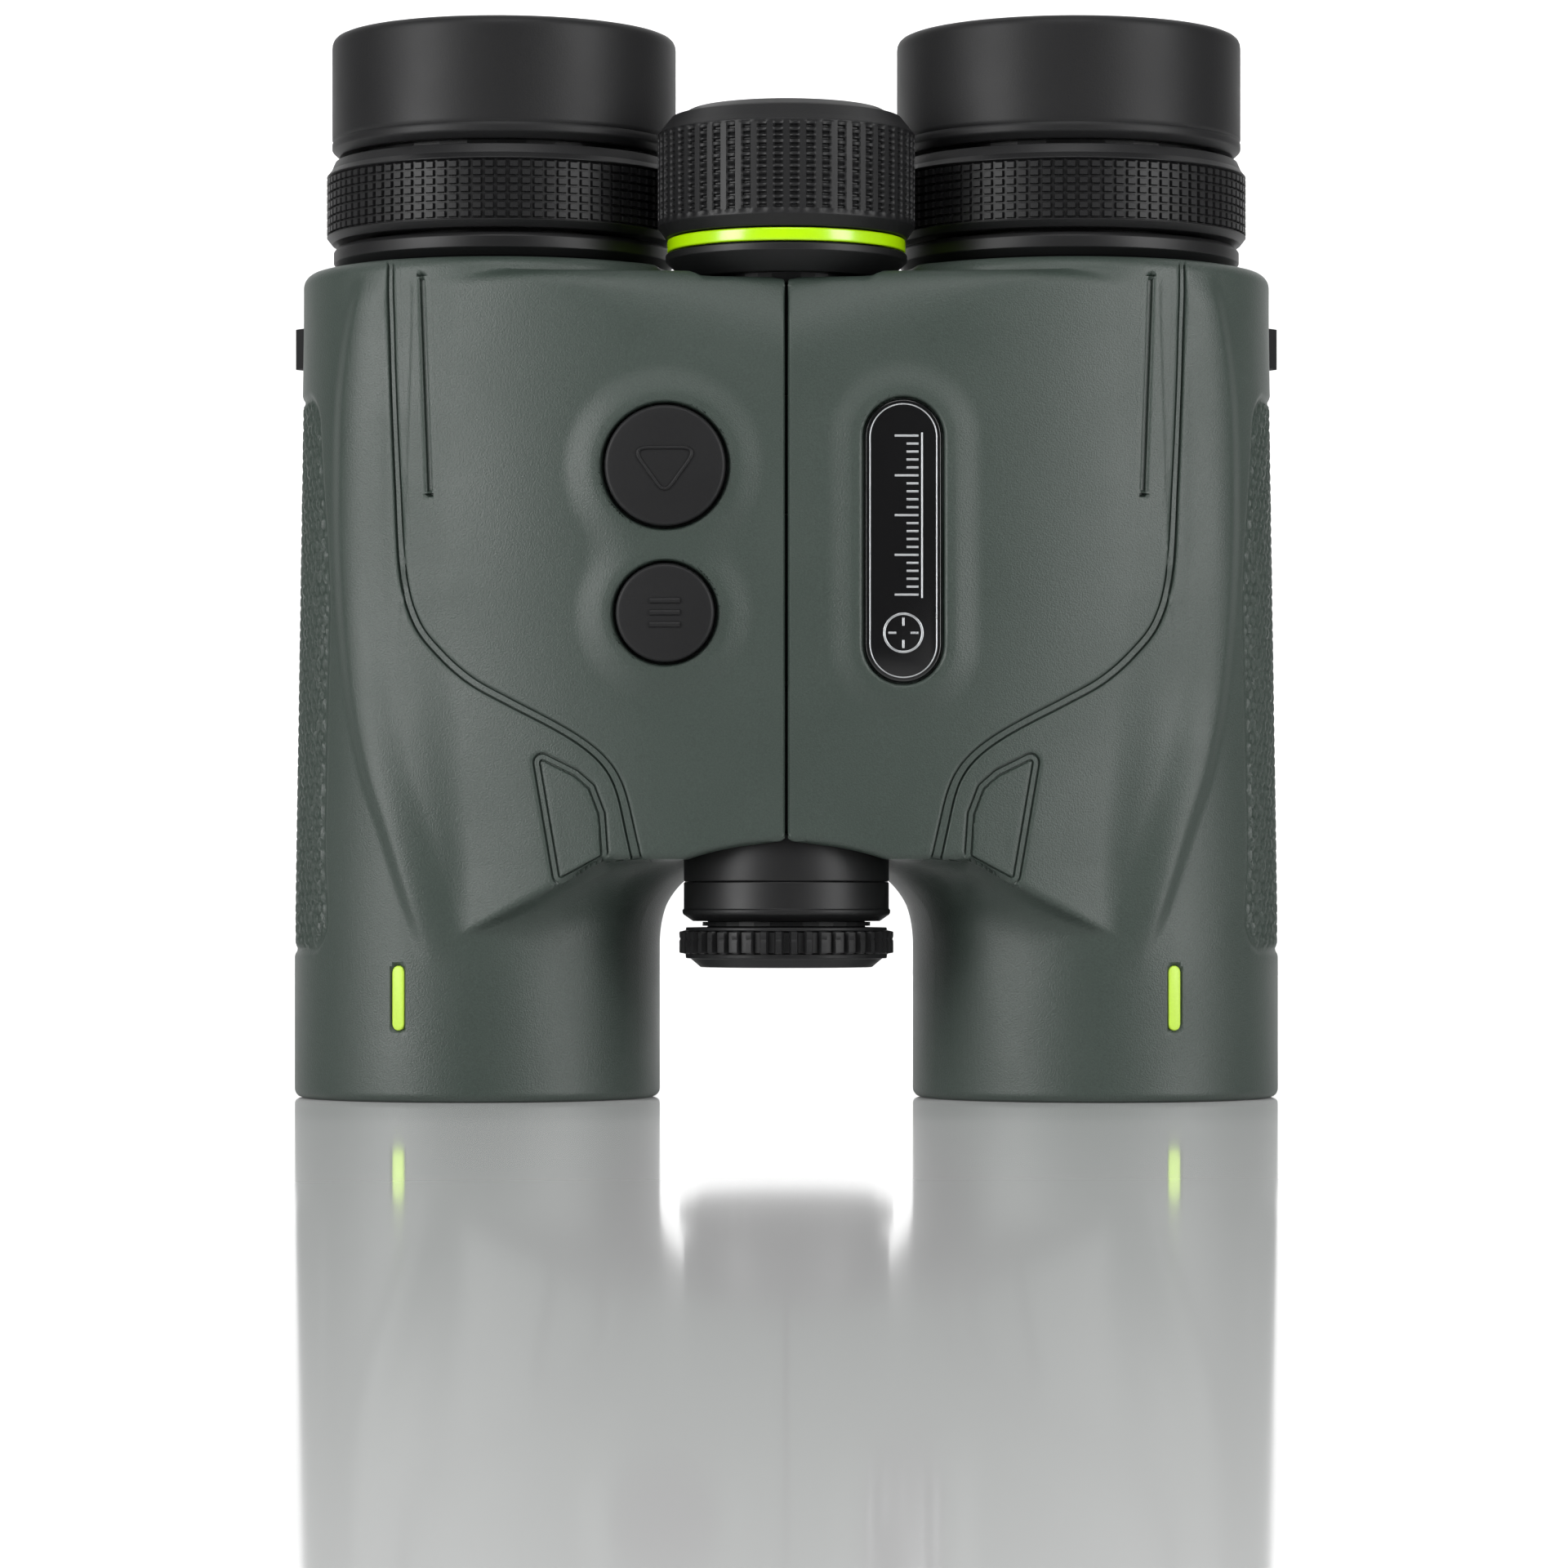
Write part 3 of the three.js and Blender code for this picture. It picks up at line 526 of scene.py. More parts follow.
GROOVE = flowing([(50.45, 108.5), (50.1, 93), (49.5, 79), (48.8, 67.5), (47.1, 61.2), (43.9, 57.0),
                  (40.0, 53.6), (35.2, 50.9), (29.8, 48.1), (26.1, 45.9), (23.5, 43.8), (21.8, 41.6),
                  (20.7, 38.9), (19.7, 34.6), (18.6, 29.6)])
SLOT = flowing([(46.3, 104.9), (45.3, 77.4)])
RIDGE = flowing([(53.3, 106), (55.3, 96), (56.2, 86), (56.2, 70), (55.0, 54), (52.9, 43), (50.3, 35),
                 (47.6, 26.5), (44.8, 18)])
POCKET = [(30.84, 43.13), (26.97, 41.2), (25.2, 39.65), (24.0, 36.5), (23.65, 31.5), (28.43, 28.95)]
POCKET_SPINE = [(28.6, 40.2), (26.3, 31.5)]
POCKET_ROUND = 1.25
POCKET_FADE_FROM, POCKET_FADE_TOWARDS = (22.6, 31.2), (0.472, 0.882)
BUTTONS = {name: (abs(centre_mm(name)[0]), centre_mm(name)[2], size_mm(name)[2] / 2)
           for name in ("measure_button", "mode_button")}
BADGE = dict(u=centre_mm("badge_plate")[0], z=centre_mm("badge_plate")[2],
             width=size_mm("badge_plate")[0], height=size_mm("badge_plate")[2])
ACCENT_Z = centre_mm("right_accent_insert")[2]
ACCENT_HEIGHT = size_mm("right_accent_insert")[2]
ACCENT_WIDTH = 1.7
ACCENT_ANGLE = 0.384
WELL_GAP = 0.35
WELL_DEPTH = 3.2
WELL_WALL = 1.1
BADGE_GAP = 0.28
BADGE_DEPTH = 1.6
SLOT_HALF = 0.3
TRENCH = 0.8
PAD_DEPTH = 0.1
RIDGE_HEIGHT, RIDGE_OUTER, RIDGE_INNER = 0.8, 2.2, 5.0
SEAM_ROUND = 0.4
GRIP_LOW, GRIP_HIGH = 18.5, 91.6
GRIP_FRONT, GRIP_BACK = 0.665, 1.15
GRIP_CORNER = 5.0
KNURL_WIDTH, KNURL_HEIGHT = 1.62, 2.75


def groove_half_width(share):
    return 0.42 + 0.12 * smooth(share / 0.6) + 0.14 * smooth((share - 0.75) / 0.25)


def around_barrel(p):
    """The arc length from +u towards the front, on the barrel's side."""
    centre, radius = barrel_at(p[:, 2])
    return np.arctan2(-p[:, 1], p[:, 0] - centre) * radius


def accent_distance(p):
    """Signed distance, along the surface, from the coloured inlay's outline."""
    centre, _ = barrel_at(p[:, 2])
    turn = np.arctan2(p[:, 0] - centre, -p[:, 1])
    flat = np.stack([(turn - ACCENT_ANGLE) * LOWER_RADIUS, p[:, 2]], axis=1)
    return from_stadium(flat, 0, ACCENT_Z, ACCENT_WIDTH, ACCENT_HEIGHT)


def grip_distance(p):
    """Signed distance, along the surface, from the grip panel's outline (negative inside)."""
    arc = around_barrel(p)
    _, radius = barrel_at(p[:, 2])
    middle = (GRIP_HIGH + GRIP_LOW) / 2
    lean = smooth((p[:, 2] - 62) / 30) * 0.15 - smooth((34 - p[:, 2]) / 12) * 0.04
    front = (GRIP_FRONT - lean) * radius
    back = GRIP_BACK * radius
    sides = np.abs(arc - (front - back) / 2) - (front + back) / 2
    ends = np.abs(p[:, 2] - middle) - (GRIP_HIGH - GRIP_LOW) / 2
    sides, ends = sides + GRIP_CORNER, ends + GRIP_CORNER
    outer = np.hypot(np.maximum(sides, 0), np.maximum(ends, 0)) - GRIP_CORNER
    return outer + np.minimum(np.maximum(sides, ends), 0)


def from_parts(flat, side):
    """Signed distances from the outlines of the parts let into a side's front."""
    if side == "left":
        return [np.hypot(flat[:, 0] - u, flat[:, 1] - z) - r for u, z, r in BUTTONS.values()]
    return [from_stadium(flat, BADGE["u"], BADGE["z"], BADGE["width"], BADGE["height"])]


def swell(p, side):
    """How far the soft shapes of the armour's front stand out of its plain form."""
    flat = p[:, [0, 2]]

    # Soft ridge along the outer edge of the front.
    s, _ = beside(RIDGE, flat)
    ridge = np.where(s > 0, smooth(1 - s / RIDGE_OUTER), smooth(1 + s / RIDGE_INNER))
    height = RIDGE_HEIGHT * ridge * smooth((flat[:, 1] - 16) / 10) * smooth((107 - flat[:, 1]) / 6)

    # A soft rounding along the seam.
    rest = np.clip(SEAM_ROUND - (flat[:, 0] - SEAM), 0, SEAM_ROUND)
    height -= SEAM_ROUND - np.sqrt(SEAM_ROUND ** 2 - rest ** 2)

    # A raised figure-of-eight round the two buttons, or a raised surround for the badge.
    rims = from_parts(flat, side)
    if side == "left":
        height += 0.85 * smooth((5.6 - soft_min(*rims, 5)) / 4.6)
    else:
        height += 0.75 * smooth((5.2 - rims[0]) / 4.4)
    return height


def trenches(p, side):
    """How deep the front is cut for the fine lines, which are let into it afterwards."""
    flat = p[:, [0, 2]]
    s, share = beside(GROOVE, flat)
    depth = TRENCH * smooth((groove_half_width(share) + 0.2 - np.abs(s)) / 0.15)
    s, _ = beside(SLOT, flat)
    depth = np.maximum(depth, TRENCH * smooth((SLOT_HALF + 0.2 - np.abs(s)) / 0.15))
    d = inside_outline(POCKET, POCKET_ROUND, flat)
    depth = np.maximum(depth, TRENCH * smooth((0.2 - d) / 0.15) * smooth((d + 1.1) / 0.15))
    depth = np.maximum(depth, PAD_DEPTH * smooth(-d / 0.4))
    gap, well = (WELL_GAP, WELL_DEPTH) if side == "left" else (BADGE_GAP, BADGE_DEPTH)
    for rim in from_parts(flat, side):
        depth = np.maximum(depth, well * smooth((gap + 0.25 - rim) / 0.12))
    return depth


def grip_relief(p):
    """The knurled panel round the barrel's side: small diamonds on a slightly sunk ground."""
    d = grip_distance(p)
    arc = around_barrel(p)
    across, along = arc / KNURL_WIDTH, p[:, 2] / KNURL_HEIGHT
    pads = np.minimum(wave(across + along), wave(across - along))
    pads = smooth(pads / 0.62)
    beyond = (p[:, 0] > 40) & (np.abs(arc) < 45)
    return np.where(beyond, -0.4 * smooth(-d / 0.9) * (1 - 0.8 * pads * smooth((-d - 0.9) / 0.7)), 0)


def relief(p, facing_front, side):
    """How far the armour's detail stands out of its plain form, in millimetres."""
    height = np.where(facing_front, swell(p, side) - trenches(p, side), 0) + grip_relief(p)
    # The seat of the coloured inlay.
    d = accent_distance(p)
    return height - np.where(facing_front & (p[:, 2] < 30), 0.5 * smooth((0.24 - d) / 0.16), 0)


# ---- The armour of one barrel: columns round a vertical line inside it, and levels ----
STAR = np.array([30.0, HINGE_V])
COLLAR_TOP, KNUCKLE_TOP = 34, 53
COLLAR_ROOM, KNUCKLE_ROOM, SLEEVE_ROOM = 13.3, 12.7, 10.8


def hinge_room(z):
    """The radius that the armour leaves free round the hinge."""
    return np.where(z < COLLAR_TOP, COLLAR_ROOM, np.where(z < KNUCKLE_TOP, KNUCKLE_ROOM, SLEEVE_ROOM))


def points_along(angle, reach, z):
    return np.stack([STAR[0] + reach * np.cos(angle), STAR[1] + reach * np.sin(angle), z], axis=-1)


def reach_of_form(angle, z, inset):
    """How far the form reaches from the star's line in a direction."""
    def is_inside(reach):
        return body_distance(points_along(angle, reach, z)) < -inset
    return halved(np.zeros_like(angle), np.full_like(angle, 70.0), is_inside)[0]


def seam_corner(z):
    """The direction from the star's line to the front corner of the seam."""
    z = np.clip(z, 36, 103)

    def is_inside(v):
        p = np.stack([np.full_like(z, SEAM), v, z], axis=-1)
        return body_distance(p) < -edge_inset(z)
    _, corner = halved(np.full_like(z, -20.0), np.full_like(z, -36.0), is_inside)
    direction = np.arctan2(corner - STAR[1], SEAM - STAR[0]) + 2 * math.pi
    return np.maximum(direction, math.pi + np.arcsin(hinge_room(z) / STAR[0]) + 0.006)


def fold_corner(z):
    """The direction to where the fold's flank leaves the form at the back."""
    z = np.clip(z, 36, 102)

    def is_inside(behind):
        p = np.stack([behind * FOLD_SLOPE, behind + HINGE_V, z], axis=-1)
        return body_distance(p) < -edge_inset(z)
    corner, _ = halved(np.full_like(z, 8.0), np.full_like(z, 60.0), is_inside)
    direction = np.arctan2(corner, corner * FOLD_SLOPE - STAR[0])
    return np.minimum(direction, math.pi - np.arcsin(hinge_room(z) / STAR[0]) - 0.02)


def spread(spacing_at, start, stop):
    """Values from start to stop whose steps follow spacing_at."""
    values = [start]
    while values[-1] < stop:
        values.append(values[-1] + spacing_at(values[-1]))
    scale = (stop - start) / (values[-1] - start)
    return start + (np.array(values) - start) * scale


def level_spacing(z):
    """Levels lie closest at the two rims and over the detailed stretch between them."""
    if z < 1.6:
        return 0.2
    if z < 8:
        return 1.1
    if z < 18:
        return 0.5
    return 0.37 if z < BODY_TOP - 2 else 0.2


def outer_columns():
    """Shares of the way round from the seam to the fold, closest together on the front."""
    z = np.full(3000, 60.0)
    start, stop = seam_corner(z[:1])[0], fold_corner(z[:1])[0] + 2 * math.pi
    angle = np.linspace(start, stop, len(z))
    p = points_along(angle, reach_of_form(angle, z, 0 * z), z)
    step = np.linalg.norm(np.diff(p, axis=0), axis=1)
    middle = (p[1:] + p[:-1]) / 2
    front = middle[:, 1] < -8
    outside = middle[:, 0] > 44
    spacing = np.where(front, 0.34, np.where(outside, 0.45, 1.6))
    spacing[: 60] = 0.22
    count = np.concatenate([[0], np.cumsum(step / spacing)])
    wanted = np.linspace(0, count[-1], int(count[-1]))
    return np.interp(wanted, count, np.linspace(0, 1, len(z)))


LEVELS = spread(level_spacing, 0.0, float(BODY_TOP))
OUTER = outer_columns()


def outer_skin(side):
    """Points of the armour's outside, as levels by columns, with all its detail."""
    z = LEVELS[:, None] + 0 * OUTER[None, :]
    start, stop = seam_corner(LEVELS)[:, None], fold_corner(LEVELS)[:, None] + 2 * math.pi
    angle = start + (stop - start) * OUTER[None, :]
    inset = edge_inset(z)
    p = points_along(angle, reach_of_form(angle, z, inset), z)
    shape = p.shape
    p = p.reshape(-1, 3)
    normal = gradient(p)
    rim = (p[:, 2] < 2) | (p[:, 2] > BODY_TOP - TOP_RIM)
    facing = (normal[:, 1] < -0.25) & (p[:, 1] < -6)
    level = np.where(rim[:, None], normal * [1, 1, 0], normal)
    level /= np.maximum(np.linalg.norm(level, axis=1, keepdims=True), 1e-6)
    detail = relief(p, facing, side)
    fade = smooth(p[:, 2] / 1.2) * smooth((BODY_TOP - p[:, 2]) / 1.2)
    p = p + level * (detail * fade)[:, None]
    return p.reshape(shape)


def to_flank(angle):
    """How far the fold's flank lies from the star's line in a direction."""
    return STAR[0] / (FOLD_SLOPE * np.sin(angle) - np.cos(angle))


def hidden_faces_of_hinge():
    """The rest of the way round: fold flank, hinge room and seam, as levels by columns."""
    z = LEVELS[:, None]
    start = fold_corner(LEVELS)[:, None] + 2 * math.pi
    seam = seam_corner(LEVELS)[:, None] + 2 * math.pi
    opening = np.arcsin(hinge_room(z) / STAR[0])
    upper, lower = math.pi - opening + 2 * math.pi, math.pi + opening + 2 * math.pi
    pieces = []
    for share in np.linspace(0, 1, 8)[1:]:
        angle = start + (upper + 0.001 - start) * share
        pieces.append((angle, np.broadcast_to(to_flank(angle), angle.shape)))
    for share in np.linspace(0, 1, 13):
        angle = upper + (lower - upper) * share
        across = angle - math.pi
        inner = np.maximum(hinge_room(z) ** 2 - (STAR[0] * np.sin(across)) ** 2, 0)
        reach = STAR[0] * np.cos(across - 2 * math.pi) - np.sqrt(inner)
        pieces.append((angle, np.minimum(reach, to_flank(angle))))
    for share in (0.0, 0.5):
        angle = lower + 0.002 + (seam - lower - 0.002) * share
        reach = (STAR[0] - SEAM) / -np.cos(angle)
        pieces.append((angle, reach))
    columns = []
    for angle, reach in pieces:
        zz = z + 0 * angle
        reach = np.minimum(reach, reach_of_form(angle, zz, edge_inset(zz)))
        columns.append(points_along(angle, reach, zz))
    return np.concatenate(columns, axis=1)


def circle_columns(points, u, radius, z):
    """The columns' points moved on to a circle about (u, 0), each staying in its own direction."""
    direction = np.arctan2(points[:, 1] - STAR[1], points[:, 0] - STAR[0])
    du, dv = STAR[0] - u, STAR[1]
    c, s = np.cos(direction), np.sin(direction)
    along = du * c + dv * s
    reach = -along + np.sqrt(along ** 2 - (du * du + dv * dv - radius ** 2))
    return np.stack([STAR[0] + reach * c, STAR[1] + reach * s, np.full(len(points), z)], axis=1)


def armour_points(side):
    """The whole skin as rows of columns: up the outside, over the top and down the bore."""
    skin = np.concatenate([outer_skin(side), hidden_faces_of_hinge()], axis=1)
    top, bottom = skin[-1], skin[0]
    rows = [*skin]
    inner_top = circle_columns(top, EYE_U, 21.0, BODY_TOP)
    for share in (0.3, 0.65, 1.0):
        rows.append(top + (inner_top - top) * share)
    for radius, z in ((20.7, BODY_TOP - 0.3), (20.7, BODY_TOP - 3.5)):
        rows.append(circle_columns(top, EYE_U, radius, z))
    for radius, z in ((21.4, 5.0), (21.4, 1.6), (21.9, 0.5), (22.2, 0.0)):
        rows.append(circle_columns(bottom, LENS_U, radius, z))
    inner_bottom = rows[-1]
    rows.append(inner_bottom + (bottom - inner_bottom) * 0.5)
    return np.array(rows)


def build_armour(side):
    grid = armour_points(side)
    sign = 1 if side == "right" else -1
    points = grid.reshape(-1, 3) * [sign, 1, 1] + [0, OPTICS_Y, 0]
    faces = grid_faces(*grid.shape[:2], close_rows=True, flip=sign < 0)
    piece = add_mesh(f"{side}_armour_skin", points, faces, ARMOUR, f"{side}_barrel", 38)
    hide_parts(f"{side}_armour")


# ---- Fine lines let into the armour's front ----
LIFT = 0.012  # a line's outer edges stand this far above the armour round it
ROOT = 1.15  # and it is closed underneath at this depth


def front_at(flat):
    """The point of the plain form's front in front of each (u, z)."""
    def is_inside(v):
        p = np.stack([flat[:, 0], v, flat[:, 1]], axis=1)
        return body_distance(p) < -edge_inset(flat[:, 1])
    front, _ = halved(np.full(len(flat), -6.0), np.full(len(flat), -45.0), is_inside)
    return np.stack([flat[:, 0], front, flat[:, 1]], axis=1)


def let_in(rows, depths, side, closed):
    """A closed band whose rows of (u, z) points lie side by side, each at a depth below the front."""
    rows = np.array(rows, float)
    depths = np.array([np.broadcast_to(d, rows.shape[1]) for d in depths], float)
    rows = np.concatenate([rows[:1], rows, rows[-1:]])
    depths = np.concatenate([0 * depths[:1] + ROOT, depths, 0 * depths[:1] + ROOT])
    flat = rows.reshape(-1, 2)
    p = front_at(flat)
    normal = gradient(p)
    normal = np.where((p[:, 2] > BODY_TOP - TOP_RIM)[:, None], normal * [1, 1, 0], normal)
    normal /= np.linalg.norm(normal, axis=1, keepdims=True)
    fade = smooth((BODY_TOP - p[:, 2]) / 1.2)
    p = p + normal * (fade * (swell(p, side) - depths.ravel()) + (1 - fade) * LIFT)[:, None]
    count, length = rows.shape[:2]
    faces = grid_faces(count, length, close_rows=True, close_columns=closed)
    if not closed:
        faces.append([k * length for k in range(count)])
        faces.append([k * length + length - 1 for k in range(count)][::-1])
    return p, faces


def leftward(ahead):
    """The unit directions to the left of these."""
    ahead = ahead / np.linalg.norm(ahead, axis=1, keepdims=True)
    return np.stack([-ahead[:, 1], ahead[:, 0]], axis=1)


def groove_rows():
    line = GROOVE[GROOVE[:, 1] < BODY_TOP - 0.02]
    left = leftward(np.gradient(line, axis=0))
    half = groove_half_width(np.linspace(0, 1, len(line)))
    wall = [(0.95, -LIFT), (0.45, -LIFT), (0.16, 0.0), (0.07, 0.06), (0.0, 0.4), (-0.1, 0.44),
            (-0.22, 0.2)]
    rows, depths = [], []
    for beyond, depth in wall:
        rows.append(line - left * (half + beyond)[:, None])
        depths.append(depth)
    for beyond, depth in wall[::-1]:
        rows.append(line + left * (half + beyond)[:, None])
        depths.append(depth * (1.35 if depth > 0.3 else 1.0))
    return rows, depths


def slot_rows():
    left = leftward(np.gradient(SLOT, axis=0))
    ends = smooth(np.minimum(np.arange(len(SLOT)), np.arange(len(SLOT))[::-1]) / 3)
    wall = [(1.0, -LIFT), (0.5, -LIFT), (0.14, 0.0), (0.04, 0.08), (-0.06, 0.5), (-SLOT_HALF, 0.55)]
    both = [(-1, *step) for step in wall[:-1]] + [(1, *step) for step in wall[::-1]]
    rows, depths = [], []
    for sign, beyond, depth in both:
        rows.append(SLOT + left * sign * (SLOT_HALF + beyond))
        depths.append(np.where(depth > 0, depth * ends, depth))
    return rows, depths


def round_outline(outline, spacing=0.3, turn_steps=8):
    """Points on a convex outline and, for each, the direction in which the outline grows."""
    points, directions = [], []
    count = len(outline)
    corners = [np.array(c, float) for c in outline]
    normals = []
    for i in range(count):
        along = corners[(i + 1) % count] - corners[i]
        normals.append(np.array([along[1], -along[0]]) / np.linalg.norm(along))
    for i in range(count):
        before, after = normals[i - 1], normals[i]
        turn = math.acos(np.clip(before @ after, -1, 1))
        start = math.atan2(before[1], before[0])
        for t in np.linspace(start, start + turn, turn_steps):
            points.append(corners[i])
            directions.append(np.array([math.cos(t), math.sin(t)]))
        steps = max(2, int(np.linalg.norm(corners[(i + 1) % count] - corners[i]) / spacing))
        for t in np.arange(1, steps) / steps:
            points.append(corners[i] * (1 - t) + corners[(i + 1) % count] * t)
            directions.append(after)
    return np.array(points), np.array(directions)


def pocket_rows():
    points, directions = round_outline(POCKET)
    rows, depths = [], []
    profile = [(0.95, -LIFT), (0.45, -LIFT), (0.14, 0.0), (0.05, 0.07), (-0.03, 0.45), (-0.13, 0.45),
               (-0.25, 0.2), (-0.78, 0.2), (-0.9, 0.48), (-1.0, 0.48), (-1.12, 0.13)]
    for beyond, depth in profile:
        row = points + directions * (POCKET_ROUND + beyond)
        above_edge = (POCKET_FADE_TOWARDS[0] * (row[:, 0] - POCKET_FADE_FROM[0])
                      + POCKET_FADE_TOWARDS[1] * (row[:, 1] - POCKET_FADE_FROM[1]))
        rows.append(row)
        depths.append(np.where(depth > 0, depth * smooth(above_edge / 0.5 + 0.2), depth))
    spine_high, spine_low = np.array(POCKET_SPINE)
    spine = spine_high - spine_low
    t = np.clip((points - spine_low) @ spine / (spine @ spine), 0, 1)
    middle = spine_low + t[:, None] * spine
    for share in (0.02, 0.2, 0.45):
        rows.append(points + (middle - points) * share)
        depths.append(PAD_DEPTH - LIFT)
    return rows, depths


def rim_rows(points, directions, radius, gap, floor):
    """The rounded lip of a well, from the armour round it down to its floor."""
    profile = [(1.35, -LIFT), (0.75, -LIFT), (0.45, 0.0), (0.3, 0.035), (0.18, 0.11), (0.08, 0.24),
               (0.02, 0.45), (0.0, 0.8)]
    rows = [points + directions * (radius + gap + beyond) for beyond, _ in profile]
    depths = [depth for _, depth in profile]
    rows.append(rows[-1])
    depths.append(floor)
    return rows, depths


def build_lines(side):
    """All the fine lines of a side, and the lips of its wells, as one piece."""
    bands = [let_in(*groove_rows(), side, False), let_in(*slot_rows(), side, False),
             let_in(*pocket_rows(), side, True)]
    if side == "left":
        for u, z, radius in BUTTONS.values():
            turn = np.linspace(0, 2 * math.pi, 160, endpoint=False)
            directions = np.stack([np.cos(turn), np.sin(turn)], axis=1)
            rows = rim_rows(np.array([[u, z]]), directions, radius, WELL_GAP, WELL_WALL)
            bands.append(let_in(*rows, side, True))
    else:
        straight = (BADGE["height"] - BADGE["width"]) / 2
        spine = [(BADGE["u"], BADGE["z"] - straight), (BADGE["u"], BADGE["z"] + straight)]
        points, directions = round_outline(spine, 0.4, 48)
        rows = rim_rows(points, directions, BADGE["width"] / 2, BADGE_GAP, WELL_WALL)
        bands.append(let_in(*rows, side, True))
    points, faces = joined(*bands)
    sign = 1 if side == "right" else -1
    if sign > 0:
        faces = [face[::-1] for face in faces]
    points = points * [sign, 1, 1] + [0, OPTICS_Y, 0]
    add_mesh(f"{side}_armour_lines", points, faces, ARMOUR, f"{side}_barrel", 40)


for side in ("left", "right"):
    build_armour(side)
    build_lines(side)


# ---- Turned pieces at the eyepieces ----
def groove_shares(count, floor, rise):
    """Within each of count repeats: the shares where a groove's floor and walls begin and end."""
    cell = np.array([-floor / 2, floor / 2, floor / 2 + rise, 0.5, 1 - floor / 2 - rise])
    return (np.arange(count)[:, None] + cell[None, :]).ravel() / count


def above_groove(share, count, floor, rise):
    """0 on a groove's floor and 1 on the pads between grooves."""
    x = share * count
    return np.clip((np.abs(x - np.round(x)) - floor / 2) / rise, 0, 1)


def build_eyepiece(side):
    x = EYE_U if side == "right" else -EYE_U
    y = OPTICS_Y
    top = EYECUP_TOP
    cup = rounded([(19.7, 122.9), (21.5, 122.9), (22.5, 123.8), (22.5, top, 1.5), (19.2, top, 1.2),
                   (17.6, top - 1.2), (16.1, top - 3.4), (16.1, top - 4.3), (19.7, top - 4.3)], 0.45, 5)

    def line(turn, radius, height):
        """A fine moulded line near the lower lip."""
        return np.where(radius > 22, -0.16 * np.exp(-(((height - 124.9) / 0.12) ** 2)), 0)

    piece = lathe(f"{side}_eyecup_rubber", divided(cup, 0.3), x, y, SOFT_BLACK, f"{side}_eyecup_shell",
                  144, line)
    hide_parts(f"{side}_eyecup")

    low, high, rows, pads, depth = 112.6, 120.0, 7, 92, 0.42
    row_floor, pad_floor, rise = 0.2, 0.22, 0.08
    levels = low + (high - low) * groove_shares(rows, row_floor, rise)
    levels = levels[(levels > low) & (levels < high)]
    side_wall = [(23.2, z) for z in levels]
    lower = rounded([(19.7, 111.5), (22.5, 111.5), (23.2, 112.4), (23.2, low)], 0.2, 3, closed=False)
    upper = rounded([(23.2, high), (23.2, 120.3), (22.6, 121.0), (22.1, 122.2), (19.7, 122.2)], 0.2, 3,
                    closed=False)

    def grid(turn, radius, height):
        across = above_groove(turn / (2 * math.pi), pads, pad_floor, rise)
        along = above_groove((height - low) / (high - low), rows, row_floor, rise)
        on_wall = (height >= low) & (height <= high) & (radius > 23)
        return np.where(on_wall, -depth * (1 - across * along), 0)

    piece = lathe(f"{side}_dioptre_grip", np.vstack([lower, side_wall, upper]), x, y, GRIP_BLACK,
                  f"{side}_dioptre", groove_shares(pads, pad_floor, rise) * 2 * math.pi, grid,
                  crease_deg=35)
    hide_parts(f"{side}_dioptre_ring")

    base = rounded([(16.2, 106.4), (20.2, 106.4), (20.2, 107.9), (21.3, 108.0), (22.3, 109.0),
                    (22.3, 110.4), (21.9, 110.95), (17.4, 110.95), (17.4, 127.3), (16.2, 127.3)], 0.25, 3)
    piece = lathe(f"{side}_eyepiece_collar", base, x, y, ANODISED, f"{side}_barrel", 128)
    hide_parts(f"{side}_eyepiece_base")


for side in ("left", "right"):
    build_eyepiece(side)


# ---- Focus wheel ----
RIB_COUNT, RIB_FLOOR, RIB_RISE = 50, 0.42, 0.1
RUNG_FLOOR, RUNG_RISE, RUNG_HEIGHT = 0.3, 0.12, 0.7


def ribs(low, high, depth, rungs):
    """Upright ribs, with low rungs across the grooves between them."""
    def shape(turn, radius, height):
        rib = above_groove(turn / (2 * math.pi), RIB_COUNT, RIB_FLOOR, RIB_RISE)
        rung = above_groove((height - low) / (high - low), rungs, RUNG_FLOOR, RUNG_RISE)
        within = np.clip((height - low) / 0.3, 0, 1) * np.clip((high - height) / 0.3, 0, 1)
        outer = radius > radius.max() - 0.35
        return np.where(outer, -within * depth * (1 - rib) * (1 - RUNG_HEIGHT * rung), 0)
    return shape


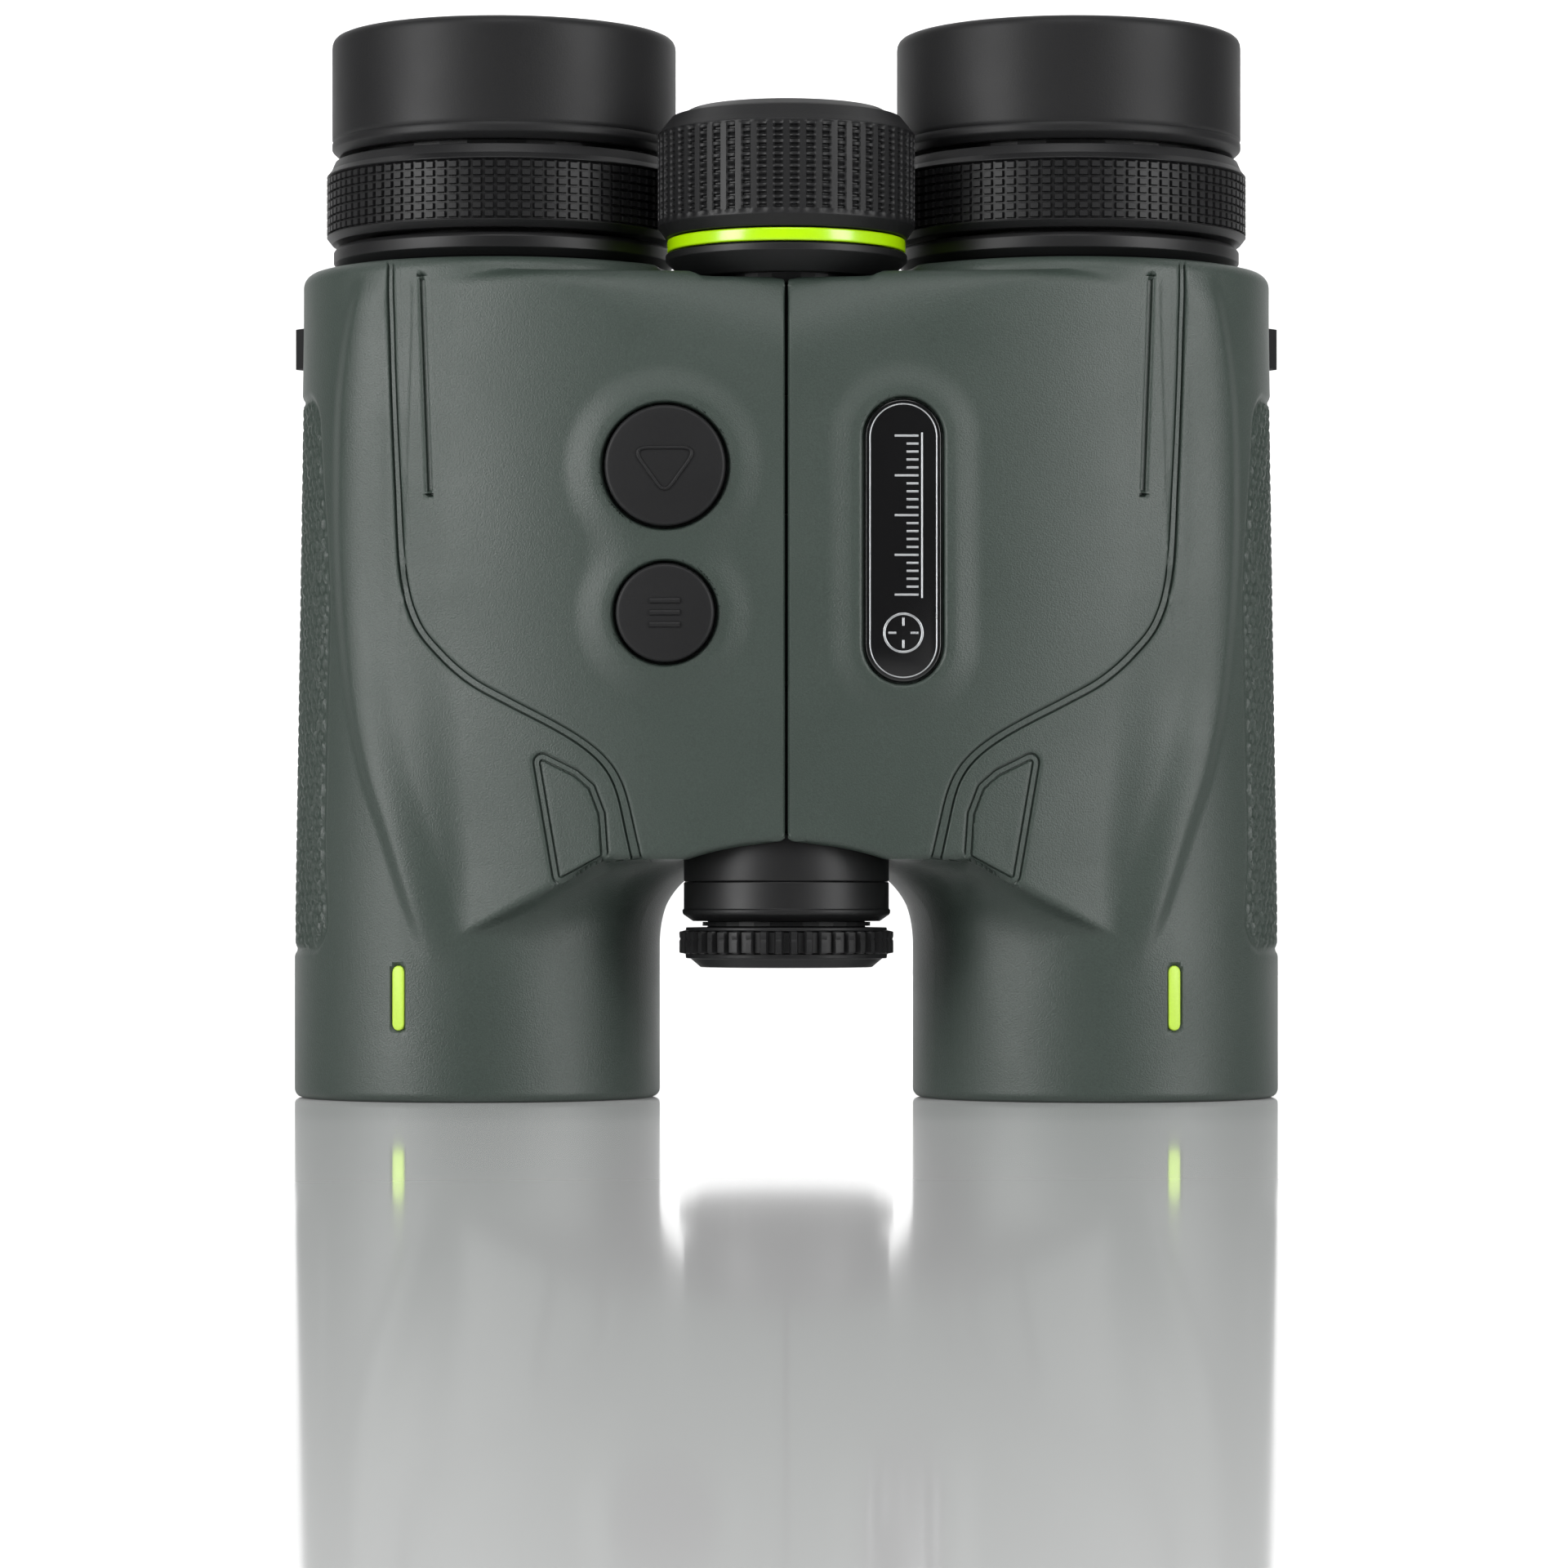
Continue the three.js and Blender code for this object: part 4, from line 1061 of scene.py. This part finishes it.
def build_focus_wheel():
    y = HINGE_Y
    body = "focus_wheel"
    hub = rounded([(3.2, 107.1), (10, 107.1), (10, 105.3), (12.7, 105.2), (15.5, 107.6), (15.5, 108.5),
                   (13.8, 108.5), (13.8, 125.4), (3.2, 125.4)], 0.2, 3)
    piece = lathe("focus_hub", hub, 0, y, ANODISED, body, 128)
    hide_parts("focus_wheel_hub")
    accent = rounded([(14.05, 108.75), (15.3, 108.75), (15.3, 110.4), (14.05, 110.4)], 0.3, 4)
    piece = lathe("focus_ring_lime", accent, 0, y, LIME, body, 128)
    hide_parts("focus_accent_ring")
    grip = rounded([(14.1, 110.6), (15.5, 110.6), (16.5, 112.0), (16.5, 123.9), (15.9, 124.6),
                    (14.7, 126.1), (14.1, 126.1)], 0.25, 3)
    piece = lathe("focus_grip", divided(grip, 0.17), 0, y, GRIP_BLACK, body,
                  groove_shares(RIB_COUNT, RIB_FLOOR, RIB_RISE) * 2 * math.pi,
                  ribs(112.2, 123.8, 0.5, 15), crease_deg=35)
    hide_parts("focus_wheel_grip")
    cap = rounded([(0.0, 125.8), (13.95, 125.8), (13.95, 126.2), (12.4, 127.0), (6, 127.2),
                   (0.0, 127.25)], 0.4, 4, closed=False)
    piece = lathe("focus_cap", cap[1:-1], 0, y, ANODISED, body, 128, closed=False)
    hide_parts("focus_wheel_cap")


build_focus_wheel()


# ---- Hinge front and battery cap ----
CAP_RIBS, CAP_FLOOR, CAP_RISE = 44, 0.35, 0.14


def cap_ribs(turn, radius, height):
    """Blocky grips round the battery cap, with a fine line across them."""
    block = above_groove(turn / (2 * math.pi), CAP_RIBS, CAP_FLOOR, CAP_RISE)
    line = np.clip(np.abs(height - 20.9) / 0.2, 0, 1)
    cut = -0.75 * (1 - block) - 0.2 * block * (1 - line)
    return np.where((radius > 13.3) & (height < 22), cut, 0)


def build_hinge_front():
    y = HINGE_Y
    collar = rounded([(9.7, 28.15), (13.0, 28.15), (13.16, 28.3), (13.16, 34), (9.7, 34)], 0.1, 3)
    piece = lathe("hinge_collar", collar, 0, y, ANODISED, "hinge_core", 128)
    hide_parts("hinge_front_collar")
    housing = rounded([(10.7, 23.1), (12.0, 23.1), (13.3, 24.0, 0.5), (13.36, 24.5), (13.16, 24.7),
                       (13.16, 28.0), (13.0, 28.13), (10.7, 28.13)], 0.1, 3)
    piece = lathe("battery_collar", housing, 0, y, ANODISED, "hinge_core", 128)
    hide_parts("battery_housing")
    cap = rounded([(0.0, 17.2), (11.0, 17.2), (12.3, 18.3), (12.9, 18.35), (12.95, 18.9), (13.74, 19.05),
                   (13.74, 21.75), (12.9, 21.95), (12.9, 22.3), (10.1, 22.35), (10.1, 23.3), (10.4, 23.4),
                   (10.4, 26.8), (8.3, 26.8), (8.3, 20.2), (0.0, 20.2)], 0.15, 3, closed=False)
    piece = lathe("battery_cap_grip", divided(cap[1:-1], 0.3, closed=False), 0, y, GRIP_BLACK,
                  "battery_cap", groove_shares(CAP_RIBS, CAP_FLOOR, CAP_RISE) * 2 * math.pi, cap_ribs,
                  closed=False, crease_deg=35)
    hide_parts("battery_cap")


build_hinge_front()


# ---- Buttons, badge and inlays ----
BUTTON_LENGTH, BUTTON_SUNK = 2.7, 1.0
PLATE_WIDTH, PLATE_THICKNESS, PLATE_SUNK = 9.7, 0.8, 0.65
RETICLE_Z, RETICLE_RADIUS = -11.6, 2.4
SCALE_START, SCALE_MARKS, SCALE_U = -6.8, 21, 1.9
MARK_WIDTH, MARK_HEIGHT = 0.28, 0.06
INLAY_THICKNESS = 0.62


def tilted(points, tilt, origin):
    """Points whose third coordinate is the way out of the surface, placed on the body.

    The first coordinate runs along +x and the second up."""
    points = np.asarray(points, float)
    x = points[:, 0] * math.cos(tilt) + points[:, 2] * math.sin(tilt)
    y = points[:, 0] * math.sin(tilt) - points[:, 2] * math.cos(tilt)
    return np.stack([origin[0] + x, origin[1] + y, origin[2] + points[:, 1]], axis=1)


def disc(radius, top, rings, segments, dome):
    """A button's skin: side, rounded edge and a slightly domed top, about the origin."""
    edge = rounded([(radius, 0), (radius, top), (0, top)], 0.55, 6, closed=False)[:-1]
    inner = np.linspace(edge[-1][0], 0.35, rings)[1:]
    profile = np.vstack([edge, [(r, top) for r in inner]])
    profile[:, 1] += dome * (1 - (profile[:, 0] / radius) ** 2)
    angles = np.arange(segments) * 2 * math.pi / segments
    radius_grid, turn = np.meshgrid(profile[:, 0], angles, indexing="ij")
    height = np.repeat(profile[:, 1][:, None], segments, axis=1)
    points = np.stack([radius_grid * np.cos(turn), radius_grid * np.sin(turn), height], axis=-1)
    points = points.reshape(-1, 3)
    faces = grid_faces(len(profile), segments)
    last = (len(profile) - 1) * segments
    faces += [face_over(last, segments), face_over(0, segments, flip=True)]
    return points, faces


def strip(path, width, height, closed=True):
    """A raised line along a flat path: a low rounded ridge. Returns points and faces."""
    path = np.asarray(path, float)
    count = len(path)
    ahead = np.roll(path, -1, axis=0) - np.roll(path, 1, axis=0)
    if not closed:
        ahead[0], ahead[-1] = path[1] - path[0], path[-1] - path[-2]
    left = leftward(ahead)
    arc = np.linspace(0, math.pi, 7)
    section = np.stack([np.cos(arc) * width / 2, np.sin(arc) * height], axis=1)
    section = np.vstack([section, [(-width / 2, -0.3), (width / 2, -0.3)]])
    points = [[*(path[i] + left[i] * s[0]), s[1]] for i in range(count) for s in section]
    faces = grid_faces(count, len(section), close_rows=closed)
    if not closed:
        size = len(section)
        faces += [face_over(0, size, flip=True), face_over((count - 1) * size, size)]
    return np.array(points), faces


def build_button(name, mark):
    u, z, radius = BUTTONS[name]
    outer = np.array([-u, OPTICS_Y + bridge_front(u, z), z])
    base = outer + [BUTTON_SUNK * math.sin(BUTTON_TILT), BUTTON_SUNK * math.cos(BUTTON_TILT), 0]
    skin = disc(radius, BUTTON_LENGTH, 6, 96, 0.12)
    marks = [(points + [0, 0, BUTTON_LENGTH + 0.06], faces) for points, faces in mark]
    points, faces = joined(skin, *marks)
    placed = tilted(points, -BUTTON_TILT, base)
    piece = add_mesh(f"{name}_cap", placed, faces, SOFT_BLACK, name, 40)
    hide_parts(name)


def triangle_mark():
    corners = [(-4.2, 2.2, 1.1), (0.0, -3.6, 1.1), (4.2, 2.2, 1.1)]
    return [strip(divided(rounded(corners, 1.1, 6), 0.4), 0.5, 0.3)]


def bars_mark():
    """Three level bars, the usual sign for a menu."""
    ends = np.linspace(-1.9, 1.9, 9)
    return [strip([(x, z) for x in ends], 0.8, 0.34, closed=False) for z in (1.5, 0.0, -1.5)]


build_button("measure_button", triangle_mark())
build_button("mode_button", bars_mark())


def stadium_path(width, height, step=0.35):
    half, straight = width / 2, height / 2 - width / 2
    turns = max(8, int(math.pi * half / step))
    upper = [(half * math.cos(t), straight + half * math.sin(t)) for t in np.linspace(0, math.pi, turns)]
    lower = [(-x, -y) for x, y in upper]
    return np.array(upper + lower)


def plate(width, height, thick, edge):
    """A stadium-shaped plate with a rounded edge, its back at zero."""
    rings = [(0, 0.0), (0, thick - edge)]
    for t in np.linspace(0, math.pi / 2, 5)[1:]:
        rings.append((edge * (1 - math.cos(t)), thick - edge + edge * math.sin(t)))
    rows = []
    outline = stadium_path(width, height)
    middle = np.array([(0, np.clip(y, -(height - width) / 2, (height - width) / 2)) for _, y in outline])
    for inset, lift in rings:
        share = 1 - inset / (width / 2)
        flat = middle + (outline - middle) * share
        rows.append(np.c_[flat, np.full(len(flat), lift)])
    count = len(outline)
    faces = grid_faces(len(rows), count)
    faces += [face_over(0, count, flip=True), face_over((len(rows) - 1) * count, count)]
    return np.vstack(rows), faces


def build_badge():
    """A gloss plate with a silver border, a ranging scale and a reticle ring in place of lettering."""
    origin = np.array([BADGE["u"], OPTICS_Y + bridge_front(BADGE["u"], BADGE["z"]), BADGE["z"]])
    base = origin + [-PLATE_SUNK * math.sin(BUTTON_TILT), PLATE_SUNK * math.cos(BUTTON_TILT), 0]
    height = BADGE["height"]
    points, faces = plate(PLATE_WIDTH, height, PLATE_THICKNESS, 0.3)
    points = tilted(points, BUTTON_TILT, base)
    piece = add_mesh("badge_face", points, faces, GLOSS_BLACK, "right_barrel", 40)
    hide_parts("badge_plate")
    marks = [strip(stadium_path(PLATE_WIDTH - 1.3, height - 1.3), 0.16, 0.05)]
    ring = [(RETICLE_RADIUS * math.cos(t), RETICLE_Z + RETICLE_RADIUS * math.sin(t))
            for t in np.linspace(0, 2 * math.pi, 60, endpoint=False)]
    marks.append(strip(ring, 0.3, MARK_HEIGHT))
    ticks = [[(dx * reach, RETICLE_Z + dz * reach) for reach in (0.9, 1.9)]
             for dx, dz in ((1, 0), (-1, 0), (0, 1), (0, -1))]
    for i in range(SCALE_MARKS):
        length = 3.0 if i % 5 == 0 else 1.5
        ticks.append([(SCALE_U - length, SCALE_START + i), (SCALE_U, SCALE_START + i)])
    marks += [strip(tick, MARK_WIDTH, MARK_HEIGHT, closed=False) for tick in ticks]
    marks.append(strip([(2.35, -7.2), (2.35, 13.6)], 0.22, MARK_HEIGHT, closed=False))
    points, faces = joined(*marks)
    points = tilted(points + [0, 0, PLATE_THICKNESS], BUTTON_TILT, base)
    add_mesh("badge_scale", points, faces, SILVER, "right_barrel", 40)


build_badge()


def build_accents():
    for side, sign in (("left", -1), ("right", 1)):
        reach = LOWER_RADIUS - INLAY_THICKNESS
        points, faces = plate(ACCENT_WIDTH, ACCENT_HEIGHT, INLAY_THICKNESS, 0.25)
        base = np.array([LENS_U + reach * math.sin(ACCENT_ANGLE),
                         OPTICS_Y - reach * math.cos(ACCENT_ANGLE), ACCENT_Z])
        placed = tilted(points, ACCENT_ANGLE, base) * [sign, 1, 1]
        if sign < 0:
            faces = [f[::-1] for f in faces]
        piece = add_mesh(f"{side}_lime_inlay", placed, faces, LIME_SOFT, f"{side}_barrel", 40)
        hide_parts(f"{side}_accent_insert")


build_accents()


# ---- CAD nodes that stay, with better materials ----
def paint(material, *names):
    for name in names:
        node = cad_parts[name]
        node.data.materials.clear()
        node.data.materials.append(material)


for side in ("left", "right"):
    paint(ANODISED, f"{side}_objective_retainer", f"{side}_eyecup_slider")
    paint(MATT_BLACK, f"{side}_chassis", f"{side}_focus_cell", f"{side}_prism_cage",
          f"{side}_ocular_barrel", f"{side}_strap_lug")
    paint(LENS_FRONT, f"{side}_objective_lens", f"{side}_focus_lens", f"{side}_roof_prism",
          f"{side}_relay_prism")
    paint(LENS_BACK, f"{side}_field_lens", f"{side}_eye_lens")
# The rear bush is painted black as painted shade: where it shows under the focus wheel, its black stands
# for the shadow there, not for its own steel.
paint(ANODISED, "hinge_sleeve", "focus_carriage", "hinge_rear_bush")
paint(STEEL, "hinge_tube", "battery_cell", "battery_contact_spring", "laser_emitter",
      "laser_receiver", "focus_spindle")
paint(BOARD, "battery_contact_board", "button_board", "main_board")
paint(SOFT_BLACK, "battery_cap_seal")


# ---- Studio ----
def build_floor():
    """A pale floor that sweeps up into a backdrop."""
    radius, far, width, height = 0.5, 1.2, 6.0, 2.5
    line = [(-3.0, 0.0)] + [(far + radius * math.sin(t), radius * (1 - math.cos(t)))
                            for t in np.linspace(0, math.pi / 2, 24)] + [(far + radius, height)]
    points = [(x, y, z) for y, z in line for x in (-width / 2, width / 2)]
    faces = [(2 * i, 2 * i + 1, 2 * i + 3, 2 * i + 2) for i in range(len(line) - 1)]
    mesh = bpy.data.meshes.new("studio_floor")
    mesh.from_pydata(points, [], faces)
    mesh.polygons.foreach_set("use_smooth", [True] * len(mesh.polygons))
    n = Nodes("studio_acrylic")
    n.drive(n.ramp(n.noise(3.0), [(0.3, (0.74,) * 3), (0.7, (0.76,) * 3)]), "Base Color")
    n.fix({"Roughness": 0.07, "Emission Color": (1, 1, 1, 1), "Emission Strength": 0.05})
    mesh.materials.append(n.material)
    floor = bpy.data.objects.new("studio_floor", mesh)
    bpy.context.scene.collection.objects.link(floor)


def softbox(name, place, target, size, power):
    data = bpy.data.lights.new(name, "AREA")
    data.shape = "RECTANGLE"
    data.size, data.size_y = size
    data.energy = power
    lamp = bpy.data.objects.new(name, data)
    lamp.location = place
    aim = Vector(target) - Vector(place)
    lamp.rotation_euler = aim.to_track_quat("-Z", "Y").to_euler()
    bpy.context.scene.collection.objects.link(lamp)


def build_world():
    """White behind the object, and a dimmer soft fill on it."""
    world = bpy.data.worlds.new("studio")
    world.use_nodes = True
    tree = world.node_tree
    fill = tree.nodes["Background"]
    fill.inputs["Color"].default_value = (1, 1, 1, 1)
    fill.inputs["Strength"].default_value = 0.07
    behind = tree.nodes.new("ShaderNodeBackground")
    behind.inputs["Color"].default_value = (1, 1, 1, 1)
    behind.inputs["Strength"].default_value = 1.0
    mix = tree.nodes.new("ShaderNodeMixShader")
    tree.links.new(tree.nodes.new("ShaderNodeLightPath").outputs["Is Camera Ray"], mix.inputs[0])
    tree.links.new(fill.outputs[0], mix.inputs[1])
    tree.links.new(behind.outputs[0], mix.inputs[2])
    tree.links.new(mix.outputs[0], tree.nodes["World Output"].inputs["Surface"])
    bpy.context.scene.world = world
    bpy.context.scene.view_settings.view_transform = "Standard"


def build_lights():
    middle = (0, 0, 0.07)
    softbox("left_softbox", (-0.75, -0.55, 0.25), middle, (0.4, 0.8), 8.6)
    softbox("right_softbox", (0.75, -0.55, 0.25), middle, (0.36, 0.8), 7.2)
    softbox("front_softbox", (0, -0.8, 1.1), middle, (0.8, 0.5), 6)
    softbox("backdrop_light", (0, 0.5, 1.3), (0, 1.6, 0.6), (2.5, 0.8), 38)


build_floor()
build_world()
build_lights()
